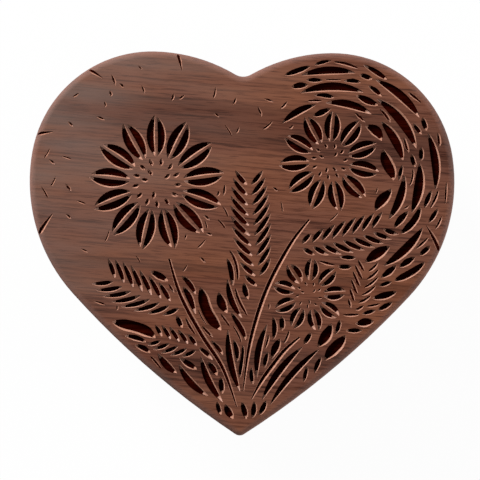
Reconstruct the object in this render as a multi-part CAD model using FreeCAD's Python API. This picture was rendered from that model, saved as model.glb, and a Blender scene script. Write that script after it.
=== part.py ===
import FreeCAD, Part
import math
import os

from FreeCAD import Vector

# Wind up music box: a heart-shaped wooden box with a swivel lid, a keepsake well at its point and a
# spring-driven cylinder movement under a clear cover. Millimetres, +Z up, the origin under the middle of
# the outline on the surface that the box stands on, +Y towards the cleft of the heart.

# Outline of the case: tangent arcs, given for the right half
CASE_WIDTH = 110.0
LOBE_RADIUS = 31.5
CLEFT_SIDE_RADIUS = 43.0
SHOULDER_RADIUS = 43.5
FLANK_RADIUS = 223.5
CLEFT_SIDE_ANGLE = 91.0
SHOULDER_ANGLE = 9.5
FLANK_ANGLE = -42.5
CLEFT_RADIUS = 4.0
POINT_RADIUS = 2.0

# Walls and edges of the case
WALL = 9.0
FLOOR = 13.0
LID_HEIGHT = 25.0
LID_TOP = 8.0
SEAM_GAP = 0.4
TOP_ROUND = 1.8
SEAM_CHAMFER = 0.4
FOOT_CHAMFER = 0.6
POCKET_CORNER = 3.0
WELL_CORNER = 5.0
WEB = 5.0
BOSS_RADIUS = 8.5

# Lid swivel, its stop and the magnets
PIVOT_RADIUS = 2.0
PIVOT_DEPTH_LID = 14.0
PIVOT_DEPTH_BASE = 18.0
BUSH_RADIUS = 3.0
BUSH_FLOOR = 1.0
WASHER_RADIUS = 3.7
DOWEL_RADIUS = 1.0
DOWEL_CIRCLE = 5.3
DOWEL_DEPTH = 8.0
DOWEL_HEIGHT = 2.4
DOWEL_ANGLE = -35.0
LID_SWING = 110.0
STOP_PLAY = 0.2
MAGNET_RADIUS = 2.5
MAGNET_THICK = 2.0
MAGNET_FROM_POINT = 6.0

# Picture carved on the lid. A flower is x, y, reach, number of petals and turn. A reed fans out from a root
# below the heart's point: first angle, near end, last angle, far end and half width. A gust of wind
# goes round the right lobe: radius, first angle, last angle and half width.
FLOWERS = ((-22.0, 15.5, 17.5, 13, 8.0), (22.5, 21.5, 13.0, 11, 20.0), (17.5, -13.0, 9.5, 9, 4.0))
PETAL_FOOT = 0.4
PETAL_RIB = 0.72
PETAL_GAP = 0.85
SHORT_PETAL = 0.97
REED_ROOT = Vector(0, -53.0, 0)
REED_BOW = 0.9
REEDS = (
    (90.0, 15.0, 96.0, 31.0, 1.0), (89.5, 34.0, 94.5, 44.0, 0.9), (76.8, 19.0, 78.0, 33.0, 0.95),
    (66.0, 14.0, 59.0, 31.0, 1.0), (56.0, 14.0, 52.0, 33.0, 0.9), (110.0, 13.0, 113.0, 26.0, 1.0),
    (121.0, 16.0, 126.0, 27.0, 1.0),
)
GUSTS = (
    (18.5, -38.0, 0.0, 1.2), (18.5, 12.0, 48.0, 1.3), (18.5, 58.0, 96.0, 1.1), (18.5, 104.0, 135.0, 1.0),
    (22.6, -25.0, 8.0, 1.4), (22.6, 18.0, 60.0, 1.4), (22.6, 70.0, 112.0, 1.2), (26.8, -8.0, 24.0, 1.2),
    (26.8, 34.0, 66.0, 1.2), (26.8, 78.0, 108.0, 1.1), (27.0, -60.0, -30.0, 1.3),
)
CUT_DEPTH = 0.9
CUT_WIDTH_SHARE = 0.6
CUT_SETBACK = 0.14

# Clear cover over the movement
COVER_THICK = 2.0
COVER_WALL = 5.2
COVER_LEDGE = 2.4
COVER_SETBACK = 3.0
COVER_PLAY = 0.25
COVER_CORNER = 1.5
COVER_HEADROOM = 0.5
COVER_SCREW_ANGLES = (62.0, -14.0)

# Fits
PRESS_FIT = 0.02
RUNNING_FIT = 0.04
END_PLAY = 0.3
STAND_OFF = 0.1

# Key and the recess that holds it
KEY_RECESS_RADIUS = 16.0
KEY_RECESS_DEPTH = 9.5
KEY_LIFT = 1.2
KEY_STEM_RADIUS = 3.0
KEY_STEM_PLAY = 0.6
KEY_WING_RADIUS = 3.5
KEY_WING_REACH = 8.5
KEY_WING_THICK = 2.2
KEY_WING_NECK = 2.4
KEY_WING_HOLE = 1.6
KEY_THREAD_RADIUS = 1.5
KEY_THREAD_LENGTH = 7.0

# Bedplate
BED_THICK = 2.0
BED_LEFT = -29.5
BED_RIGHT = 34.0
BED_BACK = 28.5
BED_MARGIN = 0.4
BED_CLEARANCE = 0.8

# Spring barrel, arbor and ratchet
BARREL_X = -18.0
BARREL_FLOOR = 0.8
BARREL_WALL = 2.0
CAP_THICK = 0.7
ARBOR_RADIUS = 2.0
ARBOR_PIVOT_RADIUS = 1.2
SPRING_HEIGHT = 4.0
SPRING_STRIP = 0.3
SPRING_GAP = 0.5
RATCHET_TEETH = 16
RATCHET_RADIUS = 5.5
RATCHET_TOOTH = 0.8
RATCHET_THICK = 1.0
CLICK_STRIP = 0.5
CLICK_PAD_RADIUS = 2.2
CLICK_DIRECTION = 135.0
CLICK_TIP_PLAY = 0.12

# Barrel bridge
BRIDGE_THICK = 1.4
BRIDGE_WIDTH = 8.0
BRIDGE_LIFT = 0.4
PILLAR_RADIUS = 1.7
LUG_HEIGHT = 2.6
LUG_WIDTH = 5.0
LUG_DEPTH = 2.2

# Toothed wheels
PRESSURE_ANGLE = 20.0
CROWN_MODULE = 0.5
CROWN_TEETH = 36
CROWN_PINION_TEETH = 10
CROWN_ADDENDUM = 0.3
CROWN_DEDENDUM = 0.5
CROWN_BACKLASH = 0.34
CROWN_PINION_FACE = 2.0
TRAIN_MODULE = 0.4
GREAT_WHEEL_TEETH = 42
LAYSHAFT_TEETH = 12
TRAIN_ADDENDUM = 0.28
TRAIN_DEDENDUM = 0.5
TRAIN_BACKLASH = 0.16
TRAIN_FACE = 1.5
WORM_MODULE = 0.5
WORM_WHEEL_TEETH = 20
WORM_RADIUS = 2.0
WORM_ADDENDUM = 0.35
WORM_DEDENDUM = 0.5
WORM_BACKLASH = 0.3
WORM_WHEEL_FACE = 2.0
WORM_TURNS = 4

# Pinned cylinder and comb
CYLINDER_RADIUS = 6.5
CYLINDER_LENGTH = 18.0
CYLINDER_WALL = 0.8
CYLINDER_CAP = 1.0
CYLINDER_GAP = 2.0
CYLINDER_ARBOR_RADIUS = 1.2
CYLINDER_PIVOT_RADIUS = 0.9
PIN_RADIUS = 0.2
PIN_HEIGHT = 0.6
PINS_PER_NOTE = 5
PIN_STAGGER = 137.5
NOTES = 18
COMB_THICK = 1.0
COMB_SLOT = 0.25
COMB_TOOTH_LENGTH = 10.0
COMB_BASE = 6.0
COMB_SCREW_SPACING = 6.0
COMB_TIP_GAP = 0.15

# Bearing bracket, layshaft and governor
WHEEL_GAP = 0.8
BRACKET_GAP = 1.2
BRACKET_THICK = 2.0
BRACKET_EDGE = 3.0
BRACKET_FOOT = 4.0
PLATE_THICK = 1.2
LAYSHAFT_DROP = 2.0
LAYSHAFT_RADIUS = 0.8
LAYSHAFT_PIVOT_RADIUS = 0.6
WORM_FROM_BRACKET = 4.0
FRAME_PLATE_GAP = 2.5
FRAME_PLATE_THICK = 1.5
FRAME_COLUMN = 3.0
FRAME_COLUMN_WIDTH = 5.0
FRAME_ARM_THICK = 1.4
GOVERNOR_ARBOR_RADIUS = 0.9
GOVERNOR_PIVOT_RADIUS = 0.5
DISC_RADIUS = 3.0
DISC_THICK = 0.8
FAN_RADIUS = 5.5
FAN_HEIGHT = 2.8
FAN_BLADE = 0.4
FAN_HUB_RADIUS = 1.6
GOVERNOR_SPACE = 0.5
DISC_LIFT = 0.9

# Stop lever
LEVER_WIDTH = 2.4
LEVER_POST_RADIUS = 1.6
LEVER_SHOULDER_RADIUS = 1.0
LEVER_RIGHT = 4.2
LEVER_DOWN = 9.0
LEVER_KNOB_REACH = 8.0
LEVER_SWING = -12.0
BRAKE_GAP = 0.05
KNOB_RADIUS = 1.5
KNOB_STEM_RADIUS = 0.7
KNOB_ABOVE_COVER = 1.5
KNOB_SLOT_PLAY = 0.4

# Screws: shank radius, head radius and head height
SMALL_SCREW = (0.8, 1.5, 0.8)
SMALL_SCREW_GRIP = 6.0
WOOD_SCREW = (0.9, 1.7, 0.9)
WOOD_SCREW_LENGTH = 8.0
BED_SCREW = (1.5, 2.7, 1.8)
BED_SCREW_SEAT = 7.0
SLOT_WIDTH = 0.4
SLOT_DEPTH = 0.4
BED_SCREW_PLACES = ((-24.0, 21.0), (9.0, -11.0), (30.5, 23.0))


def polar(centre, radius, degrees):
    angle = math.radians(degrees)
    return centre + Vector(radius * math.cos(angle), radius * math.sin(angle), 0)


def rod(x, y, low, high, radius):
    return Part.makeCylinder(radius, high - low, Vector(x, y, low))


def rod_x(y, z, left, right, radius):
    return Part.makeCylinder(radius, right - left, Vector(left, y, z), Vector(1, 0, 0))


def block(low, high):
    size = Vector(*high) - Vector(*low)
    return Part.makeBox(size.x, size.y, size.z, Vector(*low))


def prism(points, lift):
    wire = Part.makePolygon(points + points[:1])
    return Part.Face(wire).extrude(lift)


def joined(pieces):
    return pieces[0].multiFuse(pieces[1:]).removeSplitter()


def cut_all(shape, cutters):
    return shape.cut(Part.makeCompound(cutters))


def direction(start, end):
    return math.degrees(math.atan2(end.y - start.y, end.x - start.x))


# Arc centres of the right half of the heart, first with the lobe's centre on the X axis
LOBE_X = CASE_WIDTH / 2 - SHOULDER_RADIUS
LOBE_X += (SHOULDER_RADIUS - LOBE_RADIUS) * math.cos(math.radians(SHOULDER_ANGLE))
LOBE = Vector(LOBE_X, 0, 0)
CLEFT_SIDE = polar(LOBE, LOBE_RADIUS - CLEFT_SIDE_RADIUS, CLEFT_SIDE_ANGLE)
SHOULDER = polar(LOBE, LOBE_RADIUS - SHOULDER_RADIUS, SHOULDER_ANGLE)
FLANK = polar(SHOULDER, SHOULDER_RADIUS - FLANK_RADIUS, FLANK_ANGLE)


def point_centre(inset, radius):
    """Centre of the round at the heart's point, where both flanks meet on the axis."""
    reach = FLANK_RADIUS - inset - radius
    return Vector(0, FLANK.y - math.sqrt(reach ** 2 - FLANK.x ** 2), 0)


# Moves the outline so that its bounding box is centred on the origin
POINT_LOW = point_centre(0, POINT_RADIUS).y - POINT_RADIUS
OUTLINE_SHIFT = Vector(0, -(LOBE_RADIUS + POINT_LOW) / 2, 0)
LOBE += OUTLINE_SHIFT
CLEFT_SIDE += OUTLINE_SHIFT
SHOULDER += OUTLINE_SHIFT
FLANK += OUTLINE_SHIFT
POINT_Y = POINT_LOW + OUTLINE_SHIFT.y
CLEFT_REACH = CLEFT_SIDE_RADIUS + CLEFT_RADIUS
CLEFT = Vector(0, CLEFT_SIDE.y + math.sqrt(CLEFT_REACH ** 2 - CLEFT_SIDE.x ** 2), 0)
CLEFT_Y = CLEFT.y - CLEFT_RADIUS


def mirrored(point):
    return Vector(-point.x, point.y, point.z)


def heart_face(inset, point_radius):
    """Flat heart at z = 0, drawn in by the inset: every arc keeps its centre."""
    tip = point_centre(inset, point_radius)
    cleft_angle = direction(CLEFT_SIDE, CLEFT)
    tip_angle = direction(FLANK, tip)
    arcs = (
        (CLEFT_SIDE, CLEFT_SIDE_RADIUS - inset, cleft_angle, CLEFT_SIDE_ANGLE),
        (LOBE, LOBE_RADIUS - inset, CLEFT_SIDE_ANGLE, SHOULDER_ANGLE),
        (SHOULDER, SHOULDER_RADIUS - inset, SHOULDER_ANGLE, FLANK_ANGLE),
        (FLANK, FLANK_RADIUS - inset, FLANK_ANGLE, tip_angle),
    )
    right = []
    left = []
    for centre, radius, start, end in arcs:
        points = [polar(centre, radius, angle) for angle in (start, (start + end) / 2, end)]
        right.append(Part.Arc(*points).toShape())
        left.insert(0, Part.Arc(*[mirrored(point) for point in reversed(points)]).toShape())
    tip_end = polar(tip, point_radius, tip_angle)
    tip_low = tip - Vector(0, point_radius, 0)
    cleft_radius = CLEFT_RADIUS + inset
    cleft_end = polar(CLEFT, cleft_radius, cleft_angle + 180)
    cleft_low = CLEFT - Vector(0, cleft_radius, 0)
    tip_arc = Part.Arc(tip_end, tip_low, mirrored(tip_end)).toShape()
    cleft_arc = Part.Arc(mirrored(cleft_end), cleft_low, cleft_end).toShape()
    return Part.Face(Part.Wire(right + [tip_arc] + left + [cleft_arc]))


def heart(inset, low, high, point_radius=POINT_RADIUS):
    face = heart_face(inset, point_radius)
    face.translate(Vector(0, 0, low))
    return face.extrude(Vector(0, 0, high - low))


def edges_at(shape, height):
    return [edge for edge in shape.Edges if all(abs(v.Z - height) < 1e-4 for v in edge.Vertexes)]


def upright_edges(shape, y):
    picked = []
    for edge in shape.Edges:
        start, end = edge.Vertexes[0].Point, edge.Vertexes[-1].Point
        if abs(start.y - y) < 1e-4 and abs(end.y - y) < 1e-4 and abs(start.z - end.z) > 1e-4:
            picked.append(edge)
    return picked


def half_heart(inset, low, high, y, side, corner, point_radius=POINT_RADIUS):
    """A drawn-in heart behind (side 1) or in front of (side -1) the line at y, with rounded corners."""
    reach = CASE_WIDTH
    near = y if side > 0 else y - reach
    box = block((-reach, near, low), (reach, near + reach, high))
    half = heart(inset, low, high, point_radius).common(box)
    return half.makeFillet(corner, upright_edges(half, y))


# Gear sizes
CROWN_RADIUS = CROWN_MODULE * CROWN_TEETH / 2
CROWN_PINION_RADIUS = CROWN_MODULE * CROWN_PINION_TEETH / 2
GREAT_WHEEL_RADIUS = TRAIN_MODULE * GREAT_WHEEL_TEETH / 2
LAYSHAFT_GEAR_RADIUS = TRAIN_MODULE * LAYSHAFT_TEETH / 2
TRAIN_DISTANCE = GREAT_WHEEL_RADIUS + LAYSHAFT_GEAR_RADIUS
WORM_WHEEL_RADIUS = WORM_MODULE * WORM_WHEEL_TEETH / 2
WORM_PITCH = math.pi * WORM_MODULE

# Heights of the movement, stacked up from the floor of its pocket
BED_TOP = FLOOR + BED_THICK
RATCHET_LOW = BED_TOP + END_PLAY
RATCHET_HIGH = RATCHET_LOW + RATCHET_THICK
BARREL_LOW = RATCHET_HIGH + END_PLAY
SPRING_LOW = BARREL_LOW + BARREL_FLOOR + STAND_OFF
CAP_LOW = SPRING_LOW + SPRING_HEIGHT + STAND_OFF
RIM = CAP_LOW + CAP_THICK + STAND_OFF
CROWN_TOP = RIM + CROWN_DEDENDUM + CROWN_ADDENDUM
CYLINDER_Z = RIM + CROWN_DEDENDUM + CROWN_PINION_RADIUS
BRIDGE_LOW = CROWN_TOP + BRIDGE_LIFT
BRIDGE_TOP = BRIDGE_LOW + BRIDGE_THICK
LAYSHAFT_Z = CYLINDER_Z - LAYSHAFT_DROP
WORM_HALF = WORM_PITCH * WORM_TURNS / 2
DISC_LOW = LAYSHAFT_Z + WORM_HALF + DISC_LIFT
DISC_TOP = DISC_LOW + DISC_THICK
WORM_WHEEL_TOP = LAYSHAFT_Z + WORM_WHEEL_RADIUS + WORM_ADDENDUM
FAN_LOW = max(DISC_TOP, WORM_WHEEL_TOP) + GOVERNOR_SPACE
FAN_TOP = FAN_LOW + FAN_HEIGHT
ARM_LOW = FAN_TOP + GOVERNOR_SPACE
ARM_TOP = ARM_LOW + FRAME_ARM_THICK
WHEEL_TOP = CYLINDER_Z + GREAT_WHEEL_RADIUS + TRAIN_ADDENDUM
COVER_LOW = max(ARM_TOP, WHEEL_TOP) + COVER_HEADROOM
COVER_TOP = COVER_LOW + COVER_THICK
BASE_HEIGHT = COVER_TOP + COVER_SETBACK
LID_LOW = BASE_HEIGHT + SEAM_GAP
TOTAL_HEIGHT = LID_LOW + LID_HEIGHT

# Places of the movement in plan: the cylinder's axis is the X axis, the barrel's stands at BARREL_X
BARREL_RADIUS = CROWN_RADIUS + BARREL_WALL / 2
BARREL_BORE = CROWN_RADIUS - BARREL_WALL / 2
PILLAR_Y = BARREL_RADIUS + PILLAR_RADIUS + BRIDGE_LIFT
PINION_X = BARREL_X + CROWN_RADIUS
CYLINDER_LEFT = BARREL_X + BARREL_RADIUS + CYLINDER_GAP
CYLINDER_RIGHT = CYLINDER_LEFT + CYLINDER_LENGTH
WHEEL_LEFT = CYLINDER_RIGHT + WHEEL_GAP
WHEEL_RIGHT = WHEEL_LEFT + TRAIN_FACE
BRACKET_LEFT = WHEEL_RIGHT + BRACKET_GAP
BRACKET_RIGHT = BRACKET_LEFT + BRACKET_THICK
LAYSHAFT_Y = math.sqrt(TRAIN_DISTANCE ** 2 - LAYSHAFT_DROP ** 2)
WORM_X = BRACKET_RIGHT + WORM_FROM_BRACKET
WORM_Y = LAYSHAFT_Y + WORM_WHEEL_RADIUS + WORM_RADIUS
FRAME_PLATE_LEFT = WORM_X + WORM_WHEEL_FACE / 2 + FRAME_PLATE_GAP
FRAME_PLATE_RIGHT = FRAME_PLATE_LEFT + FRAME_PLATE_THICK
COLUMN_FRONT = WORM_Y + FAN_RADIUS + GOVERNOR_SPACE
COMB_TIP = CYLINDER_RADIUS + PIN_HEIGHT + COMB_TIP_GAP
COMB_ROOT = COMB_TIP + COMB_TOOTH_LENGTH
COMB_BACK = COMB_ROOT + COMB_BASE
COMB_LOW = CYLINDER_Z - COMB_THICK / 2
BED_FRONT = -(PILLAR_Y + PILLAR_RADIUS + BED_MARGIN)
POCKET_FRONT = BED_FRONT - BED_CLEARANCE
WELL_BACK = POCKET_FRONT - WEB
COVER_FRONT = POCKET_FRONT - COVER_LEDGE
PIVOT_Y = CLEFT_Y - BOSS_RADIUS
MAGNET_Y = POINT_Y + MAGNET_FROM_POINT
COVER_SCREW_INSET = (WALL + COVER_WALL) / 2

# Stop lever in plan, with its shoe on the brake disc
SHOE = Vector(WORM_X + DISC_RADIUS + LEVER_WIDTH / 2 + BRAKE_GAP, WORM_Y, 0)
LEVER_PIVOT = SHOE + Vector(LEVER_RIGHT, -LEVER_DOWN, 0)
KNOB = LEVER_PIVOT + Vector(LEVER_KNOB_REACH, 0, 0)
KNOB_TOP = COVER_TOP + KNOB_ABOVE_COVER


def screw(x, y, seat, length, sizes):
    """Slotted screw, pointing down, with its head's underside at the seat."""
    shank, head, height = sizes
    body = joined([rod(x, y, seat - length, seat + height / 2, shank), rod(x, y, seat, seat + height, head)])
    top = seat + height
    slot = block((x - head, y - SLOT_WIDTH / 2, top - SLOT_DEPTH), (x + head, y + SLOT_WIDTH / 2, top))
    return body.cut(slot)


def gear_points(teeth, module, addendum, dedendum, backlash, turn):
    """Corner points of an involute wheel, with a tooth's middle at the angle turn."""
    pitch = module * teeth / 2
    pressure = math.radians(PRESSURE_ANGLE)
    base = pitch * math.cos(pressure)
    root = pitch - dedendum
    half_tooth = math.pi / (2 * teeth) - backlash / (2 * pitch)
    at_pitch = math.tan(pressure) - pressure

    def half_angle(radius):
        slope = math.acos(min(1.0, base / radius))
        return half_tooth + at_pitch - (math.tan(slope) - slope)

    start = max(base, root)
    radii = [start, pitch, pitch + addendum]
    flank = [(radius, half_angle(radius)) for radius in radii]
    if root < base:
        flank.insert(0, (root, half_angle(base)))
    points = []
    for tooth in range(teeth):
        middle = math.radians(turn) + tooth * 2 * math.pi / teeth
        for radius, half in flank:
            points.append((radius, middle - half))
        for radius, half in reversed(flank):
            points.append((radius, middle + half))
    return [(radius * math.cos(angle), radius * math.sin(angle)) for radius, angle in points]


def gear_x(points, y, z, left, right, bore):
    """Wheel on an axis along +X; its angles run from +Y towards +Z."""
    corners = [Vector(left, y + across, z + up) for across, up in points]
    return prism(corners, Vector(right - left, 0, 0)).cut(rod_x(y, z, left, right, bore))


def cover_screw_places():
    inset = COVER_SCREW_INSET
    lobe = polar(LOBE, LOBE_RADIUS - inset, COVER_SCREW_ANGLES[0])
    shoulder = polar(SHOULDER, SHOULDER_RADIUS - inset, COVER_SCREW_ANGLES[1])
    return [lobe, shoulder, mirrored(lobe), mirrored(shoulder)]


def base_shell():
    shell = heart(0, 0, BASE_HEIGHT)
    shell = shell.makeChamfer(FOOT_CHAMFER, edges_at(shell, 0))
    shell = shell.makeChamfer(SEAM_CHAMFER, edges_at(shell, BASE_HEIGHT))
    boss = rod(0, PIVOT_Y, 0, BASE_HEIGHT, BOSS_RADIUS)
    pocket = half_heart(WALL, FLOOR, BASE_HEIGHT, POCKET_FRONT, 1, POCKET_CORNER)
    ledge = half_heart(COVER_WALL, COVER_LOW, BASE_HEIGHT, COVER_FRONT, 1, COVER_CORNER)
    well = half_heart(WALL, FLOOR, BASE_HEIGHT, WELL_BACK, -1, POCKET_CORNER, WELL_CORNER)
    cutters = [pocket.fuse(ledge).cut(boss), well]
    cutters.append(rod(BARREL_X, 0, 0, KEY_RECESS_DEPTH, KEY_RECESS_RADIUS))
    cutters.append(rod(BARREL_X, 0, 0, FLOOR, KEY_STEM_RADIUS + KEY_STEM_PLAY))
    bush_low = BASE_HEIGHT - PIVOT_DEPTH_BASE
    cutters.append(rod(0, PIVOT_Y, bush_low, BASE_HEIGHT, BUSH_RADIUS + PRESS_FIT))
    dowel = dowel_place()
    cutters.append(rod(dowel.x, dowel.y, BASE_HEIGHT - DOWEL_DEPTH, BASE_HEIGHT, DOWEL_RADIUS + PRESS_FIT))
    magnet_low = LID_LOW - SEAM_GAP / 2 - MAGNET_THICK
    cutters.append(rod(0, MAGNET_Y, magnet_low, BASE_HEIGHT, MAGNET_RADIUS + PRESS_FIT))
    for place in cover_screw_places():
        low = COVER_LOW - WOOD_SCREW_LENGTH
        cutters.append(rod(place.x, place.y, low, COVER_LOW, WOOD_SCREW[0] + PRESS_FIT))
    for x, y in BED_SCREW_PLACES:
        cutters.append(rod(x, y, 0, BED_SCREW_SEAT, BED_SCREW[1] + END_PLAY))
        cutters.append(rod(x, y, 0, FLOOR, BED_SCREW[0] + STAND_OFF))
    for cutter in cutters:
        shell = shell.cut(cutter)
    return shell


def dowel_place():
    return polar(Vector(0, PIVOT_Y, 0), DOWEL_CIRCLE, DOWEL_ANGLE)


def stop_groove():
    """Arc groove under the lid: in the lid's frame the dowel goes backwards as the lid swings out."""
    centre = Vector(0, PIVOT_Y, LID_LOW)
    half = DOWEL_RADIUS + STOP_PLAY
    height = DOWEL_HEIGHT + STOP_PLAY
    play = math.degrees(STOP_PLAY / DOWEL_CIRCLE)
    start = DOWEL_ANGLE - LID_SWING - play
    sweep = LID_SWING + 2 * play
    outer = Part.makeCylinder(DOWEL_CIRCLE + half, height, centre, Vector(0, 0, 1), sweep)
    ring = outer.cut(Part.makeCylinder(DOWEL_CIRCLE - half, height, centre))
    ring.rotate(centre, Vector(0, 0, 1), start)
    ends = []
    for angle in (start, start + sweep):
        place = polar(centre, DOWEL_CIRCLE, angle)
        ends.append(rod(place.x, place.y, LID_LOW, LID_LOW + height, half))
    return joined([ring] + ends)


def carved_cut(start, end, bow, half):
    """Core of one cut in the lid's top, between two arcs; bow is its middle's reach to the left."""
    run = end - start
    left = Vector(-run.y, run.x, 0).normalize()
    rise = 4 * CUT_SETBACK * (1 - CUT_SETBACK)
    near = start + run * CUT_SETBACK + left * (bow * rise)
    far = end - run * CUT_SETBACK + left * (bow * rise)
    middle = (start + end) / 2 + left * bow
    side = left * (half * CUT_WIDTH_SHARE)
    edges = [Part.Arc(near, middle + side, far).toShape(), Part.Arc(far, middle - side, near).toShape()]
    face = Part.Face(Part.Wire(edges))
    face.translate(Vector(0, 0, TOTAL_HEIGHT - CUT_DEPTH))
    return face.extrude(Vector(0, 0, 2 * CUT_DEPTH))


def flower_cuts(x, y, reach, petals, turn):
    """Each petal is two cuts beside a rib; the second one is a little shorter."""
    centre = Vector(x, y, 0)
    foot = reach * PETAL_FOOT
    half = (math.pi * (reach + foot) / petals - PETAL_RIB - PETAL_GAP) / 4
    cuts = []
    for petal in range(petals):
        heading = turn + 360 * petal / petals
        for side, tip in ((1, reach), (-1, reach * SHORT_PETAL)):
            aside = polar(Vector(0, 0, 0), side * PETAL_RIB / 2, heading + 90)
            start = polar(centre, foot, heading) + aside
            cuts.append(carved_cut(start, polar(centre, tip, heading) + aside, side * half, half))
    return cuts


def carving():
    """The picture's main cuts, as one list of cutters."""
    cuts = []
    for flower in FLOWERS:
        cuts += flower_cuts(*flower)
    for first, near, last, far, half in REEDS:
        start = polar(REED_ROOT, near, first)
        cuts.append(carved_cut(start, polar(REED_ROOT, far, last), REED_BOW, half))
    for radius, first, last, half in GUSTS:
        bow = radius * (math.cos(math.radians(last - first) / 2) - 1)
        cuts.append(carved_cut(polar(LOBE, radius, first), polar(LOBE, radius, last), bow, half))
    return cuts


def lid():
    body = heart(0, LID_LOW, TOTAL_HEIGHT)
    body = body.makeFillet(TOP_ROUND, edges_at(body, TOTAL_HEIGHT))
    body = body.makeChamfer(SEAM_CHAMFER, edges_at(body, LID_LOW))
    hollow = heart(WALL, LID_LOW, TOTAL_HEIGHT - LID_TOP, WELL_CORNER)
    hollow = hollow.cut(rod(0, PIVOT_Y, LID_LOW, TOTAL_HEIGHT, BOSS_RADIUS))
    magnet_low = LID_LOW - SEAM_GAP / 2
    cutters = [hollow, stop_groove()]
    cutters.append(rod(0, PIVOT_Y, LID_LOW, LID_LOW + PIVOT_DEPTH_LID, PIVOT_RADIUS + PRESS_FIT))
    cutters.append(rod(0, MAGNET_Y, LID_LOW, magnet_low + MAGNET_THICK, MAGNET_RADIUS + PRESS_FIT))
    for cutter in cutters:
        body = body.cut(cutter)
    return cut_all(body, carving())


def pivot_pin():
    low = BASE_HEIGHT - PIVOT_DEPTH_BASE + BUSH_FLOOR + END_PLAY
    return rod(0, PIVOT_Y, low, LID_LOW + PIVOT_DEPTH_LID, PIVOT_RADIUS)


def pivot_bush():
    low = BASE_HEIGHT - PIVOT_DEPTH_BASE
    body = rod(0, PIVOT_Y, low, BASE_HEIGHT, BUSH_RADIUS)
    return body.cut(rod(0, PIVOT_Y, low + BUSH_FLOOR, BASE_HEIGHT, PIVOT_RADIUS + RUNNING_FIT))


def pivot_washer():
    ring = rod(0, PIVOT_Y, BASE_HEIGHT, LID_LOW, WASHER_RADIUS)
    return ring.cut(rod(0, PIVOT_Y, BASE_HEIGHT, LID_LOW, PIVOT_RADIUS + RUNNING_FIT))


def stop_dowel():
    place = dowel_place()
    return rod(place.x, place.y, BASE_HEIGHT - DOWEL_DEPTH, LID_LOW + DOWEL_HEIGHT, DOWEL_RADIUS)


def base_magnet():
    top = LID_LOW - SEAM_GAP / 2
    return rod(0, MAGNET_Y, top - MAGNET_THICK, top, MAGNET_RADIUS)


def lid_magnet():
    low = LID_LOW - SEAM_GAP / 2
    return rod(0, MAGNET_Y, low, low + MAGNET_THICK, MAGNET_RADIUS)


def knob_slot():
    """Slot in the cover along the stop knob's arc."""
    radius = KNOB_RADIUS + KNOB_SLOT_PLAY
    start = KNOB
    end = polar(LEVER_PIVOT, LEVER_KNOB_REACH, LEVER_SWING)
    across = (end - start).cross(Vector(0, 0, 1)).normalize() * radius
    corners = [start + across, end + across, end - across, start - across]
    bar = prism([corner + Vector(0, 0, COVER_LOW) for corner in corners], Vector(0, 0, COVER_THICK))
    ends = [rod(place.x, place.y, COVER_LOW, COVER_TOP, radius) for place in (start, end)]
    return joined([bar] + ends)


def movement_cover():
    front = COVER_FRONT + COVER_PLAY
    plate = half_heart(COVER_WALL + COVER_PLAY, COVER_LOW, COVER_TOP, front, 1, COVER_CORNER)
    cutters = [rod(0, PIVOT_Y, COVER_LOW, COVER_TOP, BOSS_RADIUS + COVER_PLAY), knob_slot()]
    for place in cover_screw_places():
        cutters.append(rod(place.x, place.y, COVER_LOW, COVER_TOP, WOOD_SCREW[0] + STAND_OFF))
    for cutter in cutters:
        plate = plate.cut(cutter)
    return plate


def cover_screws():
    length = COVER_THICK + WOOD_SCREW_LENGTH
    return [screw(place.x, place.y, COVER_TOP, length, WOOD_SCREW) for place in cover_screw_places()]


def movement_screws():
    """Screws from below: made pointing down, then turned over onto their seats in the base."""
    length = BED_TOP - BED_SCREW_SEAT
    screws = []
    for x, y in BED_SCREW_PLACES:
        piece = screw(x, y, BED_SCREW_SEAT, length, BED_SCREW)
        piece.rotate(Vector(x, y, BED_SCREW_SEAT), Vector(1, 0, 0), 180)
        screws.append(piece)
    return screws


def comb_screw_places():
    middle = (CYLINDER_LEFT + CYLINDER_RIGHT) / 2
    y = (COMB_ROOT + COMB_BACK) / 2
    return [(middle + step * COMB_SCREW_SPACING, y) for step in (-1, 0, 1)]


def bridge_screw_places():
    return [(BARREL_X, side * PILLAR_Y) for side in (-1, 1)]


def bracket_screw_places():
    x = BRACKET_RIGHT + BRACKET_FOOT / 2
    return [(x, -BRACKET_EDGE), (x, LAYSHAFT_Y + BRACKET_EDGE - SMALL_SCREW[1])]


def governor_screw_places():
    y = COLUMN_FRONT + FRAME_COLUMN / 2
    reach = FRAME_COLUMN_WIDTH / 2 + SMALL_SCREW[1] + STAND_OFF
    return [(WORM_X - reach, y), (WORM_X + reach, y)]


def click_pad_place():
    reach = BARREL_RADIUS + SMALL_SCREW[1] + GOVERNOR_SPACE
    place = polar(Vector(BARREL_X, 0, 0), reach, CLICK_DIRECTION)
    return (place.x, place.y)


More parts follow.
